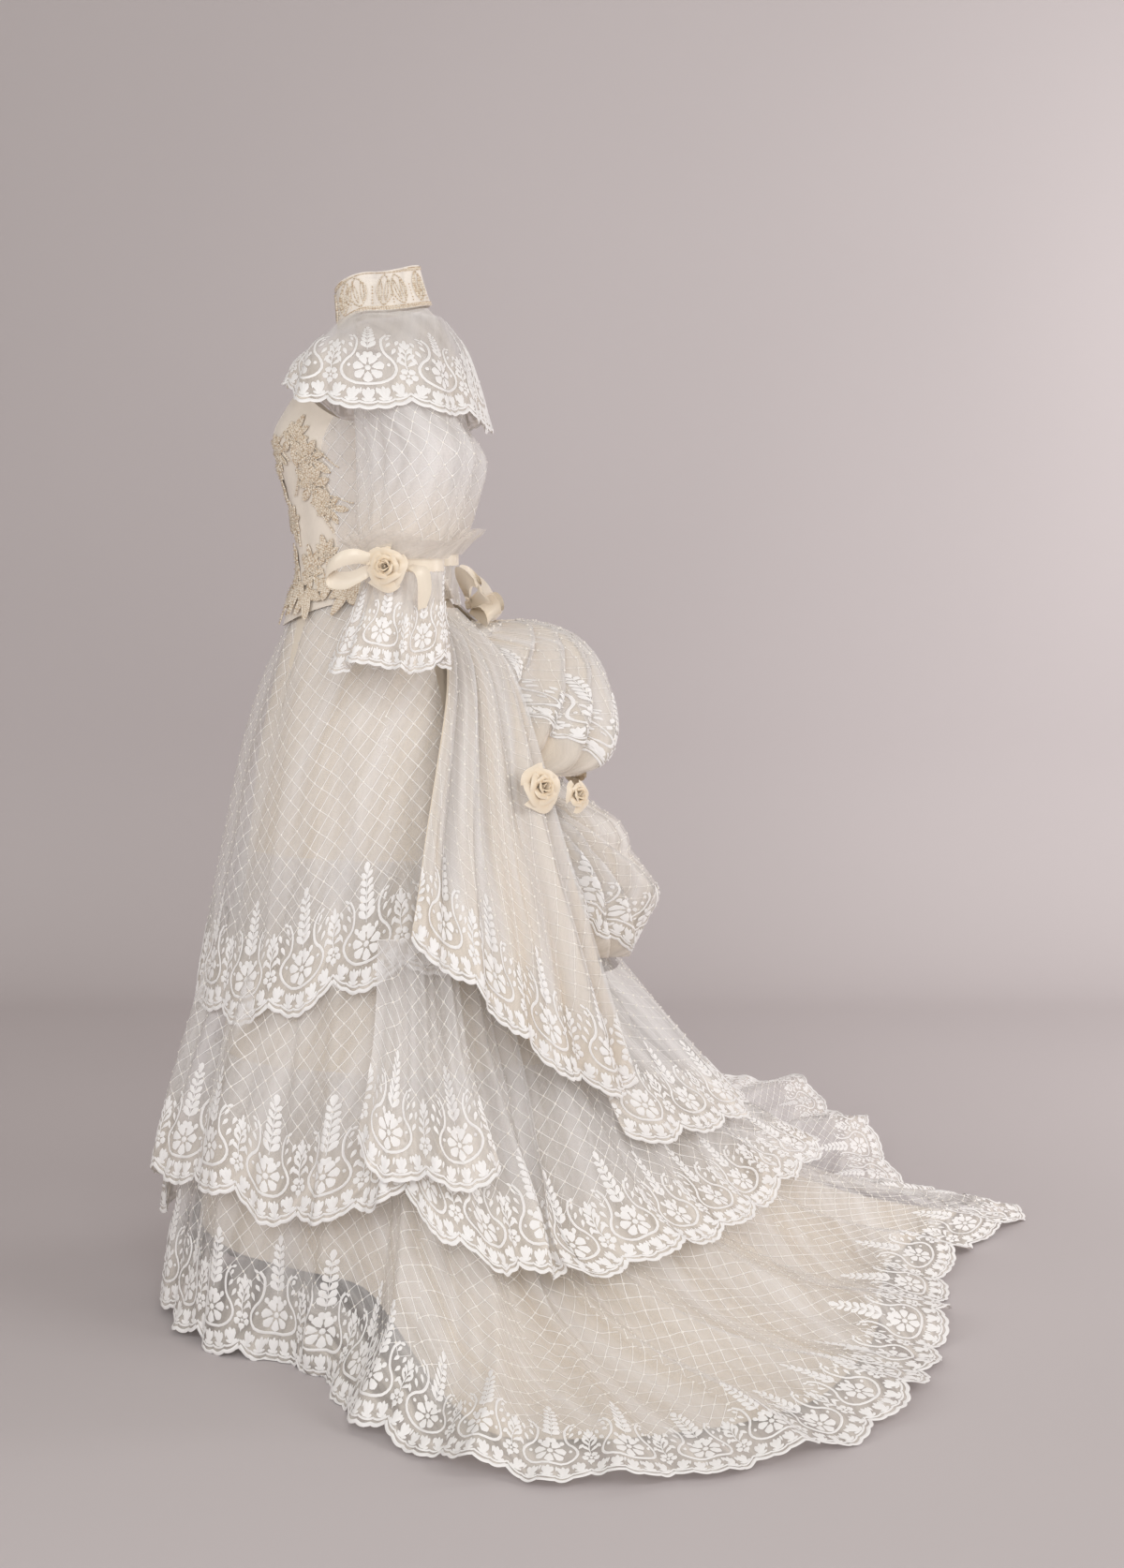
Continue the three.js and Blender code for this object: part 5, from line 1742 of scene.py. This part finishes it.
class GOWN_OT_bertha(bpy.types.Operator):
    """Make the sheer yoke and the wide lace bertha"""

    bl_idname = "gown.bertha"
    bl_label = "Yoke and bertha"

    def execute(self, context):
        yoke = ring_cloth(YOKE, 96, 20, 0, 1, closed=True)
        set_cloth("net_yoke", yoke, sheer_net(), ["yoke"])

        def wave(turn, v):
            return 5 * ease(0, 1, v) * np.cos(2 * np.pi * 12 * turn)

        depth = 0.017
        for word, start, end in (("left", 0, 0.5), ("right", 0.5, 1)):
            cloth = ring_cloth(BERTHA, 170, 44, start, end, wave)
            pitch = cloth.hem_length() / 7
            cloth.scallop(depth, pitch)
            lace = border_on(cloth, depth, pitch, scale=1.12)
            set_lace("lace_bertha_" + word, ["bertha_" + word], cloth, bobbin_net, "draped", lace, net=False)
        return {"FINISHED"}


# ---------------------------------------------------------------- sleeves
SLEEVE_FOLDS = table(
    FOLD,
    (0.06, 0.08, 0.0, 0.5, 0.014, 1.6, -4),
    (0.15, 0.14, 0.5, 1.1, 0.014, 0.8, 4),
    (0.24, 0.26, 0.0, 0.6, 0.016, 1.6, 4),
    (0.35, 0.34, 0.4, 1.1, 0.016, 0.8, -4),
    (0.44, 0.45, 0.0, 0.5, 0.014, 1.6, -4),
    (0.56, 0.55, 0.5, 1.1, 0.016, 0.8, 4),
    (0.66, 0.68, 0.0, 0.7, 0.018, 1.5, 4),
    (0.78, 0.77, 0.3, 1.1, 0.016, 0.8, -4),
    (0.9, 0.9, 0.0, 0.5, 0.014, 1.6, 4),
)


def arm_cloth(rows_table, columns, rows, side, wave=None, sag=None):
    """A tube round the arm; wave moves it outwards and sag down, in millimetres."""
    u, v = grid(columns, rows)
    at = columns_at(rows_table, v)
    turn = u if side == LEFT else 1 - u
    out = wave(turn, v) if wave else 0.0
    x = at["x"] + (at["wide"] + out) * np.sin(2 * np.pi * turn)
    y = at["y"] - (at["deep"] + out) * np.cos(2 * np.pi * turn)
    z = at["z"] - (sag(turn, v) if sag else 0.0)
    return Cloth(to_frame(side * x, y, z), closed=True)


def sleeve_wave(turn, v):
    body = 7 * np.sin(np.pi * np.clip(1.15 * v, 0, 1)) ** 0.6 * (1 - ease(0.8, 0.9, v))
    gather = 1.2 * waves(26, turn) * (ease(0.7, 0.95, v) + 1 - ease(0.05, 0.3, v))
    return body * (ripple(turn, 6, 0.5) - 0.5) + creases(SLEEVE_FOLDS, turn, v) + gather


def frill_wave(turn, v):
    return 9 * (1 - v) * (ripple(turn, 7, 1.2) - 0.5) + 4 * (1 - v) * waves(23, turn)


def frill_sag(turn, v):
    return 8 * (1 - v) * waves(3, turn, 1)


def flounce_wave(turn, v):
    return 20 * v**0.8 * (ripple(turn, 8, 2.6) - 0.5) + 1.5 * (1 - v) * waves(30, turn)


def flounce_sag(turn, v):
    return 7 * v * waves(4, turn)


class GOWN_OT_sleeves(bpy.types.Operator):
    """Make the net sleeves, their frills, ribbon bands and lace flounces"""

    bl_idname = "gown.sleeves"
    bl_label = "Sleeves"

    def execute(self, context):
        depth, pitch = 0.011, 0.085
        for word, side in SIDES:
            sleeve = arm_cloth(SLEEVE, 96, 50, side, sleeve_wave)
            set_lace("net_sleeve_" + word, ["sleeve_" + word], sleeve, sheer_net, "gathered", slot="net")
            frill = arm_cloth(FRILL, 180, 10, side, frill_wave, frill_sag)
            set_cloth("net_frill_" + word, frill, bobbin_net(), ["sleeve_frill_" + word])
            band = arm_cloth(BAND, 60, 6, side)
            set_cloth("ribbon_band_" + word, band, ribbon_satin(), ["sleeve_band_" + word])
            flounce = arm_cloth(FLOUNCE, 150, 30, side, flounce_wave, flounce_sag)
            flounce.scallop(depth, pitch)
            lace = border_on(flounce, depth, pitch, scale=0.74)
            set_lace("lace_flounce_" + word, ["flounce_" + word], flounce, bobbin_net, "gathered", lace, net=False)
        return {"FINISHED"}


# ---------------------------------------------------------------- ribbon roses and bows
GOLDEN_ANGLE = 137.5  # degrees from each petal of a rose to the next


def ribbon_cloth(points, across, width, side):
    """A ribbon along a path, a little cupped across its width and pinched at both ends."""
    path = smooth_path(points, 36) * [side, 1, 1]
    aside = unit(np.array(across, float) * [side, 1, 1])
    ahead = unit(np.gradient(path, axis=0))
    out = unit(np.cross(aside, ahead))
    share = np.linspace(-0.5, 0.5, 7)[:, None, None]
    bulge = 0.12 * width * (1 - (2 * share) ** 2)
    pinch = 1 - 0.35 * np.cos(np.pi * np.linspace(0, 1, len(path))) ** 8
    p = path[None] + share * width * aside * pinch[None, :, None] + bulge * out[None]
    return Cloth(to_frame(p[..., 0], p[..., 1], p[..., 2]))


def rose_petals(centre, out, radius, height, petals):
    """Petals of folded ribbon that wind outwards from a tight bud."""
    axis = unit(np.array(out, float))
    right = unit(np.cross([0, 0, 1], axis))
    up = np.cross(axis, right)
    parts = []
    a, b = np.meshgrid(np.linspace(-1, 1, 9), np.linspace(0, 1, 8))
    faces = cell_corners(np.arange(a.size).reshape(a.shape)).reshape(-1, 4)
    cut = np.stack([a, b], axis=-1).reshape(-1, 2) * radius * MM
    lip = ease(0.55, 1.0, b)
    for k in range(petals):
        share = (k + 0.5) / petals
        angle = k * math.radians(GOLDEN_ANGLE) + a * mix(1.5, 0.75, share)
        inner = radius * (0.06 + 0.62 * share)
        reach = inner * (0.7 + 0.3 * b) + radius * 0.36 * share * lip
        reach = reach * (1 + 0.05 * np.sin(5 * angle + k))
        tall = height * mix(1.05, 0.55, share) * np.sin(0.5 * np.pi * np.minimum(1, 1.25 * b))
        tall = (tall - height * 0.3 * lip * share) * (1 - 0.28 * a**2)
        p = (
            np.array(centre, float)
            + (reach * np.cos(angle))[..., None] * right
            + (reach * np.sin(angle))[..., None] * up
            + (tall - 0.25 * height)[..., None] * axis
        )
        parts.append((to_frame(p[..., 0], p[..., 1], p[..., 2]).reshape(-1, 3), faces, cut))
    return joined(parts)


def set_rose(name, node, centre, out, radius, height, petals):
    """Makes a ribbon rose that faces outwards, in place of its node."""
    made = rose_petals(centre, out, radius, height, petals)
    return set_piece(name, made, ribbon_satin(), [node])


def set_ribbon(name, nodes, points, across, width, side):
    """Makes a folded loop or end of ribbon."""
    cloth = ribbon_cloth(points, across, width, side)
    return set_cloth(name, cloth, ribbon_satin(), nodes)


class GOWN_OT_roses(bpy.types.Operator):
    """Make the ribbon roses at the elbows and hips"""

    bl_idname = "gown.roses"
    bl_label = "Ribbon roses"

    def execute(self, context):
        # Where the left one lies, where it faces, its radius and height, and its petals.
        roses = (
            ("elbow_ribbon_rose_", "elbow_rose_", (304, 38, 1096), (0.96, -0.25, 0.1), 33, 28, 16),
            ("hip_ribbon_rose_", "hip_rose_", (206, 240, 792), (0.8, 0.55, 0.15), 35, 28, 16),
            ("hip_ribbon_bud_", "hip_bud_", (174, 290, 778), (0.7, 0.7, 0.15), 25, 20, 11),
        )
        for word, side in SIDES:
            for name, node, (x, y, z), (a, b, c), *sewn in roses:
                set_rose(name + word, node + word, (side * x, y, z), (side * a, b, c), *sewn)
        return {"FINISHED"}


# Paths of the left loops and ends, in millimetres.
ELBOW_LOOP = (
    (296, 22, 1104), (304, -4, 1110), (300, -28, 1104), (288, -42, 1092),
    (286, -38, 1080), (298, -16, 1078), (306, 8, 1088), (300, 22, 1094),
)
ELBOW_TAIL = ((302, 66, 1098), (308, 84, 1090), (306, 88, 1066), (300, 84, 1040))
WAIST_LOOP = (
    (8, 136, 1040), (40, 128, 1062), (74, 130, 1078), (98, 144, 1074),
    (92, 160, 1056), (58, 160, 1044), (26, 150, 1038), (8, 142, 1036),
)
WAIST_UNDERLOOP = (
    (8, 138, 1034), (36, 150, 1040), (70, 162, 1044), (92, 172, 1034),
    (82, 174, 1018), (50, 164, 1018), (8, 142, 1030),
)


class GOWN_OT_bows(bpy.types.Operator):
    """Make the ribbon bows at the elbows and at the back of the waist"""

    bl_idname = "gown.bows"
    bl_label = "Bows"

    def execute(self, context):
        width = sizes().ribbon / MM
        # Name, node, path, the way across the ribbon, and its width.
        ribbons = (
            ("elbow_bow_loop_", "elbow_loop_", ELBOW_LOOP, (0.1, 0.2, 1), width),
            ("elbow_bow_tail_", "elbow_tail_", ELBOW_TAIL, (0, 1, 0.35), 0.8 * width),
            ("waist_bow_underloop_", None, WAIST_UNDERLOOP, (0.1, 0.75, 0.7), 1.1 * width),
            ("waist_bow_loop_", "waist_loop_", WAIST_LOOP, (0.15, -0.6, 0.8), 1.5 * width),
        )
        for word, side in SIDES:
            for name, node, *ribbon in ribbons:
                set_ribbon(name + word, [node + word] if node else (), *ribbon, side)
        set_rose("waist_bow_knot", "waist_knot", (0, 134, 1036), (0, 0.96, 0.2), 13, 16, 7)
        return {"FINISHED"}


# ---------------------------------------------------------------- studio
CAMERA_PLACE = (3.67, 0.27, 1.152)  # metres above the floor
CAMERA_PITCH = 5.86  # degrees down
PICTURE_HEIGHT = 1674
FOCAL_LENGTH = 2700  # in the same units as the picture's height
SENSOR_MM = 36

# Name, place, what it is aimed at, size in metres, watts and colour.
LIGHTS = (
    ("key_light", (2.4, 3.4, 0.8), (0, 0.1, -0.6), (1.8, 1.8), 50, (1.0, 0.99, 0.98)),
    ("side_light", (4.1, 0.1, 0.8), (0, 0.1, -0.15), (2.6, 1.8), 66, (0.965, 0.982, 1.0)),
    ("fill_light", (2.6, -3.2, 0.7), (0, 0, -0.3), (2.2, 2.2), 40, (0.98, 0.99, 1.0)),
    ("top_light", (0.2, -0.4, 2.9), (0, 0.2, -1.0), (2.0, 2.0), 6, (1, 1, 1)),
    ("background_light", (-0.9, 3.2, 0.3), (-2.9, 1.5, -0.35), (2.2, 2.0), 48, (1.0, 0.98, 0.99)),
)


def area_light(name, place, aim, size, power, colour):
    """A rectangular lamp that faces the place it is aimed at."""
    lamp = bpy.data.lights.new(name, "AREA")
    lamp.shape = "RECTANGLE"
    lamp.size, lamp.size_y = size
    lamp.energy = power
    lamp.color = colour
    made = put(name, lamp)
    made.location = place
    x, y, z = np.subtract(aim, place).tolist()
    made.rotation_euler = (math.atan2(math.hypot(x, y), -z), 0, math.atan2(y, x) - math.pi / 2)


def background_paper():
    """A sheet of paper that runs over the floor and curves up behind the gown."""
    half_width, near, bend, back, height = 7.0, 7.0, 0.6, -2.9, 5.5
    profile = [(near, 0.0)]
    for a in np.linspace(0, math.pi / 2, 13):
        profile.append((back + bend - bend * math.sin(a), bend - bend * math.cos(a)))
    profile.append((back, height))
    points = [(x, y, z + FLOOR) for x, z in profile for y in (-half_width, half_width)]
    faces = [(i, i + 1, i + 3, i + 2) for i in range(0, 2 * len(profile) - 2, 2)]
    mesh = bpy.data.meshes.new("background_paper")
    mesh.from_pydata(points, [], faces)
    mesh.shade_smooth()
    mesh.materials.append(studio_paper())
    return put("background_paper", mesh)


class GOWN_OT_stage(bpy.types.Operator):
    """Make the floor, background, lights and camera"""

    bl_idname = "gown.stage"
    bl_label = "Studio"

    def execute(self, context):
        background_paper()
        for light in LIGHTS:
            area_light(*light)
        world = bpy.data.worlds.new("studio_air")
        world.use_nodes = True
        world.node_tree.nodes["Background"].inputs["Color"].default_value = rgba(linear("#f4e9dd"))
        world.node_tree.nodes["Background"].inputs["Strength"].default_value = 0.36
        context.scene.world = world
        # White cloth keeps its tones best without a film curve.
        context.scene.view_settings.view_transform = "Standard"

        lens = bpy.data.cameras.new("studio_camera")
        lens.sensor_fit = "VERTICAL"
        lens.sensor_height = SENSOR_MM
        lens.lens = FOCAL_LENGTH / PICTURE_HEIGHT * SENSOR_MM
        camera = put("studio_camera", lens)
        x, y, z = CAMERA_PLACE
        camera.location = (x, y, z + FLOOR)
        camera.rotation_euler = (math.radians(90 - CAMERA_PITCH), 0, math.radians(90))
        context.scene.camera = camera
        return {"FINISHED"}


# ---------------------------------------------------------------- add-on
OPERATORS = (
    GOWN_OT_stage,
    GOWN_OT_lining,
    GOWN_OT_train,
    GOWN_OT_second_tier,
    GOWN_OT_apron,
    GOWN_OT_hip_drapes,
    GOWN_OT_bustle,
    GOWN_OT_bodice,
    GOWN_OT_collar,
    GOWN_OT_bertha,
    GOWN_OT_sleeves,
    GOWN_OT_roses,
    GOWN_OT_bows,
)


class GOWN_PT_pieces(bpy.types.Panel):
    """The gown's pieces, sizes and colours"""

    bl_idname = "GOWN_PT_pieces"
    bl_label = "Bridal gown"
    bl_space_type = "VIEW_3D"
    bl_region_type = "UI"
    bl_category = "Gown"

    def draw(self, context):
        for group in (context.scene.gown_sizes, context.scene.gown_colours):
            box = self.layout.box()
            for name in group.__annotations__:
                box.prop(group, name)
        for operator in OPERATORS:
            self.layout.operator(operator.bl_idname)


CLASSES = (GownSizes, GownColours, *OPERATORS, GOWN_PT_pieces)


def register():
    for kind in CLASSES:
        bpy.utils.register_class(kind)
    bpy.types.Scene.gown_sizes = bpy.props.PointerProperty(type=GownSizes)
    bpy.types.Scene.gown_colours = bpy.props.PointerProperty(type=GownColours)


def unregister():
    del bpy.types.Scene.gown_colours
    del bpy.types.Scene.gown_sizes
    for kind in reversed(CLASSES):
        bpy.utils.unregister_class(kind)


def main():
    register()
    for operator in OPERATORS:
        family, name = operator.bl_idname.split(".")
        getattr(getattr(bpy.ops, family), name)()
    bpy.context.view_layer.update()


if __name__ == "__main__":
    main()
